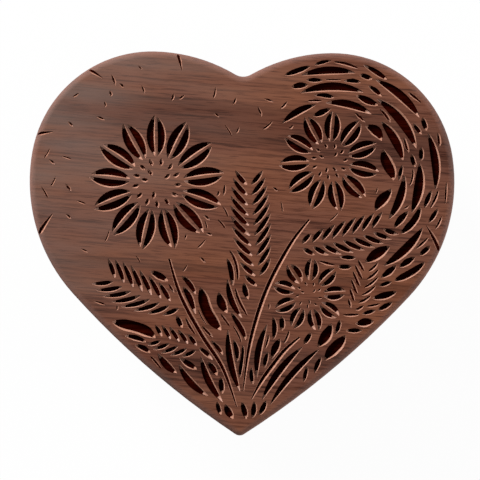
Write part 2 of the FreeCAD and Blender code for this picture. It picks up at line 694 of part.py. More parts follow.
def bedplate():
    low = (BED_LEFT, BED_FRONT, FLOOR)
    plate = heart(WALL + BED_CLEARANCE, FLOOR, BED_TOP).common(block(low, (BED_RIGHT, BED_BACK, BED_TOP)))
    plate = plate.cut(rod(0, PIVOT_Y, FLOOR, BED_TOP, BOSS_RADIUS + BED_CLEARANCE))
    pedestal = block((CYLINDER_LEFT, COMB_ROOT + COMB_SLOT, BED_TOP), (CYLINDER_RIGHT, COMB_BACK, COMB_LOW))
    plate = joined([plate, pedestal])
    cutters = [rod(BARREL_X, 0, FLOOR, BED_TOP, ARBOR_RADIUS + RUNNING_FIT)]
    shank = SMALL_SCREW[0] + PRESS_FIT
    for x, y in BED_SCREW_PLACES:
        cutters.append(rod(x, y, FLOOR, BED_TOP, BED_SCREW[0] + PRESS_FIT))
    for x, y in comb_screw_places():
        cutters.append(rod(x, y, COMB_LOW - SMALL_SCREW_GRIP, COMB_LOW, shank))
    for x, y in bracket_screw_places() + governor_screw_places() + [click_pad_place()]:
        cutters.append(rod(x, y, FLOOR, BED_TOP, shank))
    for cutter in cutters:
        plate = plate.cut(cutter)
    return plate


def comb():
    pitch = CYLINDER_LENGTH / NOTES
    plate = block((CYLINDER_LEFT, COMB_TIP, COMB_LOW), (CYLINDER_RIGHT, COMB_BACK, COMB_LOW + COMB_THICK))
    cutters = []
    for note in range(1, NOTES):
        x = CYLINDER_LEFT + note * pitch - COMB_SLOT / 2
        cutters.append(block((x, COMB_TIP, COMB_LOW), (x + COMB_SLOT, COMB_ROOT, COMB_LOW + COMB_THICK)))
    for x, y in comb_screw_places():
        cutters.append(rod(x, y, COMB_LOW, COMB_LOW + COMB_THICK, SMALL_SCREW[0] + STAND_OFF))
    return cut_all(plate, cutters)


def comb_screws():
    seat = COMB_LOW + COMB_THICK
    return [screw(x, y, seat, COMB_THICK + SMALL_SCREW_GRIP, SMALL_SCREW) for x, y in comb_screw_places()]


def cylinder():
    """Brass drum with rows of small pins, one row for each tooth of the comb."""
    drum = rod_x(0, CYLINDER_Z, CYLINDER_LEFT, CYLINDER_RIGHT, CYLINDER_RADIUS)
    bore = CYLINDER_RADIUS - CYLINDER_WALL
    pitch = CYLINDER_LENGTH / NOTES
    pins = []
    for note in range(NOTES):
        x = CYLINDER_LEFT + (note + 0.5) * pitch
        for pin in range(PINS_PER_NOTE):
            turn = math.radians(note * PIN_STAGGER + pin * 360 / PINS_PER_NOTE)
            axis = Vector(0, math.cos(turn), math.sin(turn))
            start = Vector(x, 0, CYLINDER_Z) + axis * (CYLINDER_RADIUS - CYLINDER_WALL / 2)
            pins.append(Part.makeCylinder(PIN_RADIUS, CYLINDER_WALL / 2 + PIN_HEIGHT, start, axis))
    drum = drum.multiFuse(pins)
    return drum.cut(rod_x(0, CYLINDER_Z, CYLINDER_LEFT, CYLINDER_RIGHT, bore))


def cylinder_caps():
    radius = CYLINDER_RADIUS - CYLINDER_WALL - PRESS_FIT
    caps = []
    for left in (CYLINDER_LEFT, CYLINDER_RIGHT - CYLINDER_CAP):
        right = left + CYLINDER_CAP
        disc = rod_x(0, CYLINDER_Z, left, right, radius)
        caps.append(disc.cut(rod_x(0, CYLINDER_Z, left, right, CYLINDER_ARBOR_RADIUS + PRESS_FIT)))
    return caps


def cylinder_arbor():
    left = lug_right() + END_PLAY
    right = BRACKET_LEFT - END_PLAY
    body = rod_x(0, CYLINDER_Z, left, right, CYLINDER_ARBOR_RADIUS)
    pivot_left = lug_right() - LUG_DEPTH + END_PLAY
    return joined([body, rod_x(0, CYLINDER_Z, pivot_left, BRACKET_RIGHT, CYLINDER_PIVOT_RADIUS)])


def crown_pinion():
    half = CROWN_PINION_FACE / 2
    gap_down = -90 + 180 / CROWN_PINION_TEETH
    points = gear_points(CROWN_PINION_TEETH, CROWN_MODULE, CROWN_ADDENDUM, CROWN_DEDENDUM,
                         CROWN_BACKLASH / 2, gap_down)
    bore = CYLINDER_ARBOR_RADIUS + PRESS_FIT
    return gear_x(points, 0, CYLINDER_Z, PINION_X - half, PINION_X + half, bore)


def mesh_angle():
    """Direction from the cylinder's axis to the layshaft."""
    return math.degrees(math.atan2(-LAYSHAFT_DROP, LAYSHAFT_Y))


def great_wheel():
    points = gear_points(GREAT_WHEEL_TEETH, TRAIN_MODULE, TRAIN_ADDENDUM, TRAIN_DEDENDUM,
                         TRAIN_BACKLASH, mesh_angle())
    return gear_x(points, 0, CYLINDER_Z, WHEEL_LEFT, WHEEL_RIGHT, CYLINDER_ARBOR_RADIUS + PRESS_FIT)


def crown_teeth():
    """Radial teeth on the barrel's rim, one of them under the pinion."""
    pitch = math.pi * CROWN_MODULE
    slope = math.tan(math.radians(PRESSURE_ANGLE))
    half = (pitch / 2 - CROWN_BACKLASH) / 2
    root = half + CROWN_DEDENDUM * slope
    tip = half - CROWN_ADDENDUM * slope
    profile = [(-root, RIM), (-tip, CROWN_TOP), (tip, CROWN_TOP), (root, RIM)]
    teeth = []
    for tooth in range(CROWN_TEETH):
        corners = [Vector(BARREL_X + BARREL_BORE, across, up) for across, up in profile]
        piece = prism(corners, Vector(BARREL_WALL, 0, 0))
        piece.rotate(Vector(BARREL_X, 0, 0), Vector(0, 0, 1), tooth * 360 / CROWN_TEETH)
        teeth.append(piece)
    return teeth


def spring_barrel():
    """Drum for the mainspring; its crown teeth stand on the rim and reach a little under it to join it."""
    drum = rod(BARREL_X, 0, BARREL_LOW, RIM, BARREL_RADIUS)
    drum = drum.cut(rod(BARREL_X, 0, BARREL_LOW + BARREL_FLOOR, RIM, BARREL_BORE))
    drum = drum.cut(rod(BARREL_X, 0, BARREL_LOW, RIM, ARBOR_RADIUS + RUNNING_FIT))
    ring = rod(BARREL_X, 0, RIM, CROWN_TOP, BARREL_RADIUS).cut(rod(BARREL_X, 0, RIM, CROWN_TOP, BARREL_BORE))
    teeth = [tooth.common(ring) for tooth in crown_teeth()]
    return drum.multiFuse(teeth)


def barrel_cap():
    top = CAP_LOW + CAP_THICK
    disc = rod(BARREL_X, 0, CAP_LOW, top, BARREL_BORE - PRESS_FIT)
    return disc.cut(rod(BARREL_X, 0, CAP_LOW, top, ARBOR_RADIUS + RUNNING_FIT))


def spiral_edges(start_radius, pitch, half_turns):
    """Half circles of growing radius, ends on the barrel's X axis line."""
    edges = []
    side = 1
    start = Vector(BARREL_X + start_radius, 0, SPRING_LOW)
    radius = start_radius
    for _ in range(half_turns):
        radius += pitch / 4
        centre = start - Vector(side * radius, 0, 0)
        end = start - Vector(side * 2 * radius, 0, 0)
        middle = centre + Vector(0, side * radius, 0)
        edges.append(Part.Arc(start, middle, end).toShape())
        start = end
        side = -side
        radius += pitch / 4
    return edges, start


def mainspring():
    """Flat spiral strip from the arbor to the barrel's wall."""
    pitch = SPRING_STRIP + SPRING_GAP
    inner_start = ARBOR_RADIUS + SPRING_GAP
    room = BARREL_BORE - SPRING_STRIP - STAND_OFF - inner_start
    half_turns = int(2 * room / pitch)
    inner, inner_end = spiral_edges(inner_start, pitch, half_turns)
    outer, outer_end = spiral_edges(inner_start + SPRING_STRIP, pitch, half_turns)
    first = Part.makeLine(inner[0].Vertexes[0].Point, outer[0].Vertexes[0].Point)
    last = Part.makeLine(inner_end, outer_end)
    wire = Part.Wire(Part.__sortEdges__(inner + [last] + outer + [first]))
    print("mainspring: least gap between turns", round(pitch - SPRING_STRIP, 2), "mm")
    return Part.Face(wire).extrude(Vector(0, 0, SPRING_HEIGHT))


def winding_arbor():
    shoulder = BRIDGE_LOW - STAND_OFF
    body = rod(BARREL_X, 0, FLOOR, shoulder, ARBOR_RADIUS)
    pivot = rod(BARREL_X, 0, shoulder, BRIDGE_TOP, ARBOR_PIVOT_RADIUS)
    thread = rod(BARREL_X, 0, FLOOR - KEY_STEM_PLAY - KEY_THREAD_LENGTH, FLOOR, KEY_THREAD_RADIUS)
    return joined([body, pivot, thread])


def ratchet_wheel():
    """Saw teeth: steep on the side that the wound spring pushes against the click."""
    centre = Vector(BARREL_X, 0, RATCHET_LOW)
    points = []
    for tooth in range(RATCHET_TEETH):
        turn = CLICK_DIRECTION + 360 * tooth / RATCHET_TEETH
        points.append(polar(centre, RATCHET_RADIUS - RATCHET_TOOTH, turn))
        points.append(polar(centre, RATCHET_RADIUS, turn))
    wheel = prism(points, Vector(0, 0, RATCHET_THICK))
    return wheel.cut(rod(BARREL_X, 0, RATCHET_LOW, RATCHET_HIGH, ARBOR_RADIUS + PRESS_FIT))


def click_spring():
    """Springy strip on a screwed pad, its tip lying against the steep side of a ratchet tooth."""
    pad_x, pad_y = click_pad_place()
    pad = rod(pad_x, pad_y, BED_TOP, RATCHET_HIGH, CLICK_PAD_RADIUS)
    axis = Vector(BARREL_X, 0, RATCHET_LOW)
    tip_radius = RATCHET_RADIUS - RATCHET_TOOTH + CLICK_TIP_PLAY
    tip_turn = CLICK_DIRECTION + 360 / RATCHET_TEETH - math.degrees(CLICK_TIP_PLAY / tip_radius)
    tip_low = polar(axis, tip_radius, tip_turn)
    tip_high = polar(axis, RATCHET_RADIUS + CLICK_STRIP / 2, tip_turn)
    side = CLICK_DIRECTION + 90
    pad_centre = Vector(pad_x, pad_y, RATCHET_LOW)
    back = polar(pad_centre, CLICK_PAD_RADIUS, side)
    back_low = polar(pad_centre, CLICK_PAD_RADIUS - CLICK_STRIP, side)
    strip = prism([tip_low, tip_high, back, back_low], Vector(0, 0, RATCHET_THICK))
    piece = joined([pad, strip])
    return piece.cut(rod(pad_x, pad_y, BED_TOP, RATCHET_HIGH, SMALL_SCREW[0] + STAND_OFF))


def click_screw():
    pad_x, pad_y = click_pad_place()
    return screw(pad_x, pad_y, RATCHET_HIGH, RATCHET_HIGH - FLOOR, SMALL_SCREW)


def winding_key():
    """Butterfly key: a round stem with a flat wing on each side."""
    top = FLOOR - KEY_STEM_PLAY
    middle = KEY_LIFT + KEY_WING_RADIUS
    half = KEY_WING_THICK / 2
    pieces = [rod(BARREL_X, 0, KEY_LIFT, top, KEY_STEM_RADIUS)]
    low = (BARREL_X - KEY_WING_REACH, -half, middle - KEY_WING_NECK)
    pieces.append(block(low, (BARREL_X + KEY_WING_REACH, half, middle + KEY_WING_NECK)))
    holes = []
    for side in (-1, 1):
        centre = Vector(BARREL_X + side * KEY_WING_REACH, -half, middle)
        pieces.append(Part.makeCylinder(KEY_WING_RADIUS, KEY_WING_THICK, centre, Vector(0, 1, 0)))
        holes.append(Part.makeCylinder(KEY_WING_HOLE, KEY_WING_THICK, centre, Vector(0, 1, 0)))
    key = joined(pieces)
    key = cut_all(key, holes)
    return key.cut(rod(BARREL_X, 0, top - KEY_THREAD_LENGTH, top, KEY_THREAD_RADIUS + PRESS_FIT))


def lug_right():
    return BARREL_X + BRIDGE_WIDTH / 2


def barrel_bridge():
    """Plate over the barrel, with the upper bearing of the arbor and the left bearing of the cylinder."""
    left = BARREL_X - BRIDGE_WIDTH / 2
    right = lug_right()
    reach = PILLAR_Y
    plate = block((left, -reach, BRIDGE_LOW), (right, reach, BRIDGE_TOP))
    ends = [rod(x, y, BRIDGE_LOW, BRIDGE_TOP, BRIDGE_WIDTH / 2) for x, y in bridge_screw_places()]
    lug_left = right - LUG_DEPTH
    lug = block((lug_left, -LUG_WIDTH / 2, BRIDGE_LOW), (right, LUG_WIDTH / 2, CYLINDER_Z + LUG_HEIGHT))
    front_cut = block((left, -reach - BRIDGE_WIDTH, BRIDGE_LOW), (right, BED_FRONT, BRIDGE_TOP))
    bridge = joined([plate, lug] + ends).cut(front_cut)
    cutters = [rod(BARREL_X, 0, BRIDGE_LOW, BRIDGE_TOP, ARBOR_PIVOT_RADIUS + RUNNING_FIT)]
    cutters.append(rod_x(0, CYLINDER_Z, lug_left, right, CYLINDER_PIVOT_RADIUS + RUNNING_FIT))
    for x, y in bridge_screw_places():
        cutters.append(rod(x, y, BRIDGE_LOW, BRIDGE_TOP, SMALL_SCREW[0] + STAND_OFF))
    return cut_all(bridge, cutters)


def bridge_pillars():
    pillars = []
    for x, y in bridge_screw_places():
        hole = rod(x, y, BED_TOP, BRIDGE_LOW, SMALL_SCREW[0] + PRESS_FIT)
        pillars.append(rod(x, y, BED_TOP, BRIDGE_LOW, PILLAR_RADIUS).cut(hole))
    return pillars


def bridge_screws():
    length = BRIDGE_TOP - BED_TOP
    return [screw(x, y, BRIDGE_TOP, length, SMALL_SCREW) for x, y in bridge_screw_places()]


def bearing_bracket():
    """Upright plate on a foot, with the right bearing of the cylinder and the left one of the layshaft."""
    front = -BRACKET_EDGE - SMALL_SCREW[1]
    back = LAYSHAFT_Y + BRACKET_EDGE
    top = CYLINDER_Z + BRACKET_EDGE
    plate = block((BRACKET_LEFT, front, BED_TOP), (BRACKET_RIGHT, back, top))
    pieces = [plate]
    for x, y in bracket_screw_places():
        high = (BRACKET_RIGHT + BRACKET_FOOT, y + SMALL_SCREW[1], BED_TOP + PLATE_THICK)
        pieces.append(block((BRACKET_LEFT, y - SMALL_SCREW[1], BED_TOP), high))
    cutters = [rod_x(0, CYLINDER_Z, BRACKET_LEFT, BRACKET_RIGHT, CYLINDER_PIVOT_RADIUS + RUNNING_FIT)]
    bore = LAYSHAFT_PIVOT_RADIUS + RUNNING_FIT
    cutters.append(rod_x(LAYSHAFT_Y, LAYSHAFT_Z, BRACKET_LEFT, BRACKET_RIGHT, bore))
    for x, y in bracket_screw_places():
        cutters.append(rod(x, y, BED_TOP, BED_TOP + PLATE_THICK, SMALL_SCREW[0] + STAND_OFF))
    return cut_all(joined(pieces), cutters)


def bracket_screws():
    seat = BED_TOP + PLATE_THICK
    return [screw(x, y, seat, seat - FLOOR, SMALL_SCREW) for x, y in bracket_screw_places()]


def layshaft():
    """Arbor with a reduced pivot at each bearing; the pinion sits on its overhung left end."""
    y, z = LAYSHAFT_Y, LAYSHAFT_Z
    pivot = rod_x(y, z, WHEEL_LEFT, FRAME_PLATE_RIGHT, LAYSHAFT_PIVOT_RADIUS)
    body = rod_x(y, z, BRACKET_RIGHT + END_PLAY, FRAME_PLATE_LEFT - END_PLAY, LAYSHAFT_RADIUS)
    return joined([pivot, body])


def layshaft_pinion():
    gap = mesh_angle() + 180 + 180 / LAYSHAFT_TEETH
    points = gear_points(LAYSHAFT_TEETH, TRAIN_MODULE, TRAIN_ADDENDUM, TRAIN_DEDENDUM, TRAIN_BACKLASH, gap)
    bore = LAYSHAFT_PIVOT_RADIUS + PRESS_FIT
    return gear_x(points, LAYSHAFT_Y, LAYSHAFT_Z, WHEEL_LEFT, WHEEL_RIGHT, bore)


def worm_wheel():
    half = WORM_WHEEL_FACE / 2
    points = gear_points(WORM_WHEEL_TEETH, WORM_MODULE, WORM_ADDENDUM, WORM_DEDENDUM, WORM_BACKLASH, 0)
    bore = LAYSHAFT_RADIUS + PRESS_FIT
    return gear_x(points, LAYSHAFT_Y, LAYSHAFT_Z, WORM_X - half, WORM_X + half, bore)


def governor_frame():
    """Foot with the layshaft's right bearing plate and a column whose arm holds the governor's top pivot."""
    left = WORM_X - FRAME_COLUMN_WIDTH / 2 - 2 * SMALL_SCREW[1]
    right = FRAME_PLATE_RIGHT + SMALL_SCREW[1]
    front = LAYSHAFT_Y - BRACKET_EDGE
    back = COLUMN_FRONT + FRAME_COLUMN
    foot_top = BED_TOP + PLATE_THICK
    half = FRAME_COLUMN_WIDTH / 2
    foot = block((left, COLUMN_FRONT, BED_TOP), (right, back, foot_top))
    tongue = block((WORM_X - half, WORM_Y - half, BED_TOP), (right, back, foot_top))
    side = block((FRAME_PLATE_LEFT, front, BED_TOP), (right, back, foot_top))
    plate = block((FRAME_PLATE_LEFT, front, BED_TOP),
                  (FRAME_PLATE_RIGHT, LAYSHAFT_Y + BRACKET_EDGE, LAYSHAFT_Z + BRACKET_EDGE))
    column = block((WORM_X - half, COLUMN_FRONT, BED_TOP), (WORM_X + half, back, ARM_TOP))
    arm = block((WORM_X - half, WORM_Y - half, ARM_LOW), (WORM_X + half, back, ARM_TOP))
    bore = GOVERNOR_PIVOT_RADIUS + RUNNING_FIT
    cutters = [rod(WORM_X, WORM_Y, BED_TOP, foot_top, bore), rod(WORM_X, WORM_Y, ARM_LOW, ARM_TOP, bore)]
    bearing = LAYSHAFT_PIVOT_RADIUS + RUNNING_FIT
    cutters.append(rod_x(LAYSHAFT_Y, LAYSHAFT_Z, FRAME_PLATE_LEFT, FRAME_PLATE_RIGHT, bearing))
    for x, y in governor_screw_places():
        cutters.append(rod(x, y, BED_TOP, foot_top, SMALL_SCREW[0] + STAND_OFF))
    return cut_all(joined([foot, tongue, side, plate, column, arm]), cutters)


def governor_screws():
    seat = BED_TOP + PLATE_THICK
    return [screw(x, y, seat, seat - FLOOR, SMALL_SCREW) for x, y in governor_screw_places()]


def worm_thread():
    """Right-hand thread of one start, with a gap towards the worm wheel's tooth at its middle."""
    slope = math.tan(math.radians(PRESSURE_ANGLE))
    half = (WORM_PITCH / 2 - WORM_BACKLASH) / 2
    core = WORM_RADIUS - WORM_DEDENDUM
    inner = core - STAND_OFF
    outer = WORM_RADIUS + WORM_ADDENDUM
    root = half + (WORM_RADIUS - inner) * slope
    tip = half - WORM_ADDENDUM * slope
    corners = [(inner, -root), (outer, -tip), (outer, tip), (inner, root)]
    profile = Part.makePolygon([Vector(x, 0, z) for x, z in corners + corners[:1]])
    turns = WORM_TURNS - 1
    path = Part.makeHelix(WORM_PITCH, turns * WORM_PITCH, WORM_RADIUS)
    thread = Part.Wire(path.Edges).makePipeShell([profile], True, True)
    thread.rotate(Vector(0, 0, 0), Vector(0, 0, 1), -90)
    thread.translate(Vector(WORM_X, WORM_Y, LAYSHAFT_Z - turns * WORM_PITCH / 2))
    return thread


def governor_worm():
    core = rod(WORM_X, WORM_Y, LAYSHAFT_Z - WORM_HALF, LAYSHAFT_Z + WORM_HALF, WORM_RADIUS - WORM_DEDENDUM)
    foot_top = BED_TOP + PLATE_THICK
    arbor = rod(WORM_X, WORM_Y, foot_top + STAND_OFF, ARM_LOW - STAND_OFF, GOVERNOR_ARBOR_RADIUS)
    pivot = rod(WORM_X, WORM_Y, BED_TOP, ARM_TOP, GOVERNOR_PIVOT_RADIUS)
    return joined([core, arbor, pivot, worm_thread()])


def brake_disc():
    disc = rod(WORM_X, WORM_Y, DISC_LOW, DISC_TOP, DISC_RADIUS)
    return disc.cut(rod(WORM_X, WORM_Y, DISC_LOW, DISC_TOP, GOVERNOR_ARBOR_RADIUS + PRESS_FIT))


def governor_fan():
    """Two thin blades on a hub."""
    half = FAN_BLADE / 2
    hub = rod(WORM_X, WORM_Y, FAN_LOW, FAN_TOP, FAN_HUB_RADIUS)
    low = (WORM_X - FAN_RADIUS, WORM_Y - half, FAN_LOW)
    blades = block(low, (WORM_X + FAN_RADIUS, WORM_Y + half, FAN_TOP))
    bore = rod(WORM_X, WORM_Y, FAN_LOW, FAN_TOP, GOVERNOR_ARBOR_RADIUS + PRESS_FIT)
    return joined([hub, blades]).cut(bore)


def lever_bar(start, end):
    """Flat bar with round ends, at the height of the brake disc."""
    half = LEVER_WIDTH / 2
    across = (end - start).cross(Vector(0, 0, 1)).normalize() * half
    lift = Vector(0, 0, DISC_LOW)
    corners = [start + across, end + across, end - across, start - across]
    bar = prism([corner + lift for corner in corners], Vector(0, 0, DISC_THICK))
    return [bar] + [rod(place.x, place.y, DISC_LOW, DISC_TOP, half) for place in (start, end)]


def stop_lever():
    lever = joined(lever_bar(SHOE, LEVER_PIVOT) + lever_bar(LEVER_PIVOT, KNOB))
    bore = LEVER_SHOULDER_RADIUS + RUNNING_FIT
    lever = lever.cut(rod(LEVER_PIVOT.x, LEVER_PIVOT.y, DISC_LOW, DISC_TOP, bore))
    return lever.cut(rod(KNOB.x, KNOB.y, DISC_LOW, DISC_TOP, KNOB_STEM_RADIUS + PRESS_FIT))


def stop_knob():
    body = rod(KNOB.x, KNOB.y, DISC_TOP, KNOB_TOP, KNOB_RADIUS)
    body = body.makeFillet(KNOB_RADIUS / 2, edges_at(body, KNOB_TOP))
    return joined([body, rod(KNOB.x, KNOB.y, DISC_LOW, DISC_TOP, KNOB_STEM_RADIUS)])


def stop_lever_post():
    post = rod(LEVER_PIVOT.x, LEVER_PIVOT.y, BED_TOP, DISC_LOW - STAND_OFF, LEVER_POST_RADIUS)
    hole_low = DISC_LOW - SMALL_SCREW_GRIP
    return post.cut(rod(LEVER_PIVOT.x, LEVER_PIVOT.y, hole_low, DISC_LOW, SMALL_SCREW[0] + PRESS_FIT))


def stop_lever_screw():
    """Shoulder screw: its wide shoulder is the lever's pivot."""
    x, y = LEVER_PIVOT.x, LEVER_PIVOT.y
    shoulder = rod(x, y, DISC_LOW - STAND_OFF, DISC_TOP + STAND_OFF, LEVER_SHOULDER_RADIUS)
    length = DISC_TOP + STAND_OFF - DISC_LOW + SMALL_SCREW_GRIP
    return joined([screw(x, y, DISC_TOP + STAND_OFF, length, SMALL_SCREW), shoulder])


PIECES = (
    base_shell, lid, pivot_pin, pivot_bush, pivot_washer, stop_dowel, base_magnet, lid_magnet,
    movement_cover, cover_screws, movement_screws, bedplate, comb, comb_screws,
    cylinder, cylinder_caps, cylinder_arbor, crown_pinion, great_wheel,
    spring_barrel, barrel_cap, mainspring, winding_arbor, ratchet_wheel, winding_key,
    click_spring, click_screw, barrel_bridge, bridge_pillars, bridge_screws,
    bearing_bracket, bracket_screws, layshaft, layshaft_pinion, worm_wheel,
    governor_frame, governor_screws, governor_worm, brake_disc, governor_fan,
    stop_lever, stop_knob, stop_lever_post, stop_lever_screw,
)


def main():
    os.makedirs("parts", exist_ok=True)
    for piece in PIECES:
        shape = piece()
        if isinstance(shape, list):
            shape = Part.makeCompound(shape)
        shape.exportStep("parts/" + piece.__name__ + ".step")
        print(piece.__name__, "solids:", len(shape.Solids), "valid:", shape.isValid(),
              "volume:", round(shape.Volume, 1))
    print("height", round(TOTAL_HEIGHT, 2), "base", round(BASE_HEIGHT, 2), "pivot y", round(PIVOT_Y, 2))


main()
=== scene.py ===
# %% [markdown]
# # Wind up music box: a carved walnut heart with a clockwork inside
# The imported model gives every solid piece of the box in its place. This lesson keeps those pieces, cuts a
# picture of flowers and leaves into the lid, and gives wood, brass, steel, zinc and acrylic their own look.
# Everything is in metres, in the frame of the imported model, so nothing has to be fitted.

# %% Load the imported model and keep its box
import math
import random

import bpy
import numpy as np
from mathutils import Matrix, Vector


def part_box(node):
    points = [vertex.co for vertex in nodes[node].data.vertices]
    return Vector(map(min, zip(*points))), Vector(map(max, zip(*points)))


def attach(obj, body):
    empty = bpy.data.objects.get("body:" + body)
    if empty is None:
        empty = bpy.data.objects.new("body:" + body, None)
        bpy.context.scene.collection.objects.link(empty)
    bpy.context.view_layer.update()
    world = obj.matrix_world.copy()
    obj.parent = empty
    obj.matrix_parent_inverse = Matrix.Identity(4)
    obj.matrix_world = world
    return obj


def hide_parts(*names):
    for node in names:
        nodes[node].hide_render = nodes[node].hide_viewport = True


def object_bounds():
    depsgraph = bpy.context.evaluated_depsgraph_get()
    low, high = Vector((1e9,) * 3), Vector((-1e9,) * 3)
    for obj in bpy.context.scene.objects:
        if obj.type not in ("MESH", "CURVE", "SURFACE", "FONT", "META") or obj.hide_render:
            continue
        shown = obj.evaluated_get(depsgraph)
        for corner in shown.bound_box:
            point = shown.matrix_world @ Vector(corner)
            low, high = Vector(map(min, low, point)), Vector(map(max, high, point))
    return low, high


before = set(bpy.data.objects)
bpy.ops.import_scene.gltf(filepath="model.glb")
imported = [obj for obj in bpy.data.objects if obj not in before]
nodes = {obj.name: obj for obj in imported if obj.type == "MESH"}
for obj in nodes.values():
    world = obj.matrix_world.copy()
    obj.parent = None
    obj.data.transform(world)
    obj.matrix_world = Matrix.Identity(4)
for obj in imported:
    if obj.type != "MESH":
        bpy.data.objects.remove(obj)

solids_low, solids_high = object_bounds()
print("nodes", len(nodes), "box", [round(v, 4) for v in solids_high - solids_low])

# %% [markdown]
# ## Words that every finish uses
# Real finishes are described in millimetres and in the colours that a paint chart gives. Four small helpers
# do that here: one turns an sRGB hex value into Blender's linear colour, one turns the size of a pattern in
# millimetres into the scale of a Mapping node, one adds a node with its settings and links, and one starts
# a material and sets what is even all over it.

# %% Helpers for colours, pattern sizes, nodes and materials
MM = 0.001


def colour(code):
    """An sRGB hex value as linear red, green, blue and alpha."""
    shares = [int(code[i:i + 2], 16) / 255 for i in (1, 3, 5)]
    return [s / 12.92 if s <= 0.04045 else ((s + 0.055) / 1.055) ** 2.4 for s in shares] + [1.0]


def per_mm(x, y, z):
    """The Mapping scale at which one step of a pattern is x, y and z millimetres long."""
    return [1 / (size * MM) for size in (x, y, z)]


def add_node(tree, kind, inputs=None, stops=None, **settings):
    """Adds one node. An input is a socket to link or a plain value. Stops are a ramp's places and colours."""
    made = tree.nodes.new("ShaderNode" + kind)
    for name, value in settings.items():
        setattr(made, name, value)
    for name, value in (inputs or {}).items():
        if isinstance(value, bpy.types.NodeSocket):
            tree.links.new(value, made.inputs[name])
        else:
            made.inputs[name].default_value = value
    if stops:
        ramp = made.color_ramp.elements
        ramp.remove(ramp[1])
        ramp[0].position, ramp[0].color = stops[0][0], colour(stops[0][1])
        for place, code in stops[1:]:
            ramp.new(place).color = colour(code)
    return made


def new_finish(name, **shader):
    """A material with its Principled shader, whose even values are set on the shader's own sockets."""
    finish = bpy.data.materials.new(name)
    finish.use_nodes = True
    gloss = finish.node_tree.nodes["Principled BSDF"]
    for socket, value in shader.items():
        gloss.inputs[socket.replace("_", " ")].default_value = value
    return finish, finish.node_tree, gloss


print("white is", [round(c, 3) for c in colour("#ffffff")])

# %% [markdown]
# ## Walnut
# The box is milled from two blocks of black walnut and rubbed with oil: warm brown with purple-grey bands,
# dark growth lines, and short open pores. A flat picture of wood would break at every edge, so the growth
# rings are a pattern in space that each face cuts for itself. In the lid's block the rings lie level, so
# its sides show wavy level lines and its top long streaks. In the base's block they stand upright, so its
# sides show upright streaks that bend. On the lid's top the growth lines are fainter, and sheen is painted
# on: soft grey streaks, strongest at the left lobe, and a paler band on the round of its edge. Everywhere
# else the wood is painted darker and warmer than the top, as shade. The height above the floor tells the
# pattern where the top is.

# %% Growth lines
RING_WANDER = 26.0      # mm that a growth line strays over the block
LEAN_YEARS = 23.0       # mm from one run of lean years, which crowd the rings, to the next
CROWDING = 1.8          # mm that a ring is moved by them
RING_FUZZ = 0.8         # mm that the fibres fray it


def growth_lines(tree, place, split, fibre, rings_along, lean, spacing, wander_size):
    """The colour of the growth lines, as a share of the wood's own: the distance across the rings, which lean
    and wander slowly through the block, counted in years. Each year darkens towards its end."""
    wander_place = add_node(tree, "Mapping", {"Vector": place, "Scale": per_mm(*wander_size)})
    wander = add_node(tree, "TexNoise", {"Vector": wander_place.outputs[0], "Scale": 1.0, "Detail": 1.0,
                                         "Roughness": 0.3})
    across = add_node(tree, "Math", {0: split.outputs["Z"], 1: lean, 2: split.outputs[rings_along]},
                      operation="MULTIPLY_ADD")
    bent = add_node(tree, "Math", {0: wander.outputs["Fac"], 1: RING_WANDER * MM, 2: across.outputs[0]},
                    operation="MULTIPLY_ADD")
    years = add_node(tree, "Math", {0: bent.outputs[0], 1: 2 * math.pi / (LEAN_YEARS * MM)},
                     operation="MULTIPLY")
    years = add_node(tree, "Math", {0: years.outputs[0]}, operation="SINE")
    uneven = add_node(tree, "Math", {0: years.outputs[0], 1: CROWDING * MM, 2: bent.outputs[0]},
                      operation="MULTIPLY_ADD")
    frayed = add_node(tree, "Math", {0: fibre, 1: RING_FUZZ * MM, 2: uneven.outputs[0]},
                      operation="MULTIPLY_ADD")
    counted = add_node(tree, "Math", {0: frayed.outputs[0], 1: spacing * MM}, operation="DIVIDE")
    ring = add_node(tree, "Math", {0: counted.outputs[0]}, operation="FRACT")
    lines = add_node(tree, "ValToRGB", {"Fac": ring.outputs[0]},
                     stops=[(0.0, "#f2e8e2"), (0.12, "#ffffff"), (0.5, "#f4eae4"), (0.76, "#c9aca1"),
                            (0.88, "#76574d"), (0.93, "#6c4e45"), (1.0, "#f2e8e2")])
    return lines.outputs["Color"]


print("growth lines wander", RING_WANDER, "mm")

# %% The lid's top, and the sheen painted on it
SHEEN_FROM = (-60.0, -8.0)   # mm aslant, from the left lobe, with the most painted sheen, to the least
SHEEN_SLANT = -0.5       # how far the painted sheen's slant turns from the left towards the back
SHEEN_DROP = 0.8         # mm under the top at which the painted sheen on the edge's round is palest
TOP_BAND_DEPTH = 1.2          # mm under the top: the top's band ends, and the edge's painted sheen starts to fade
lid_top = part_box("lid")[1].z


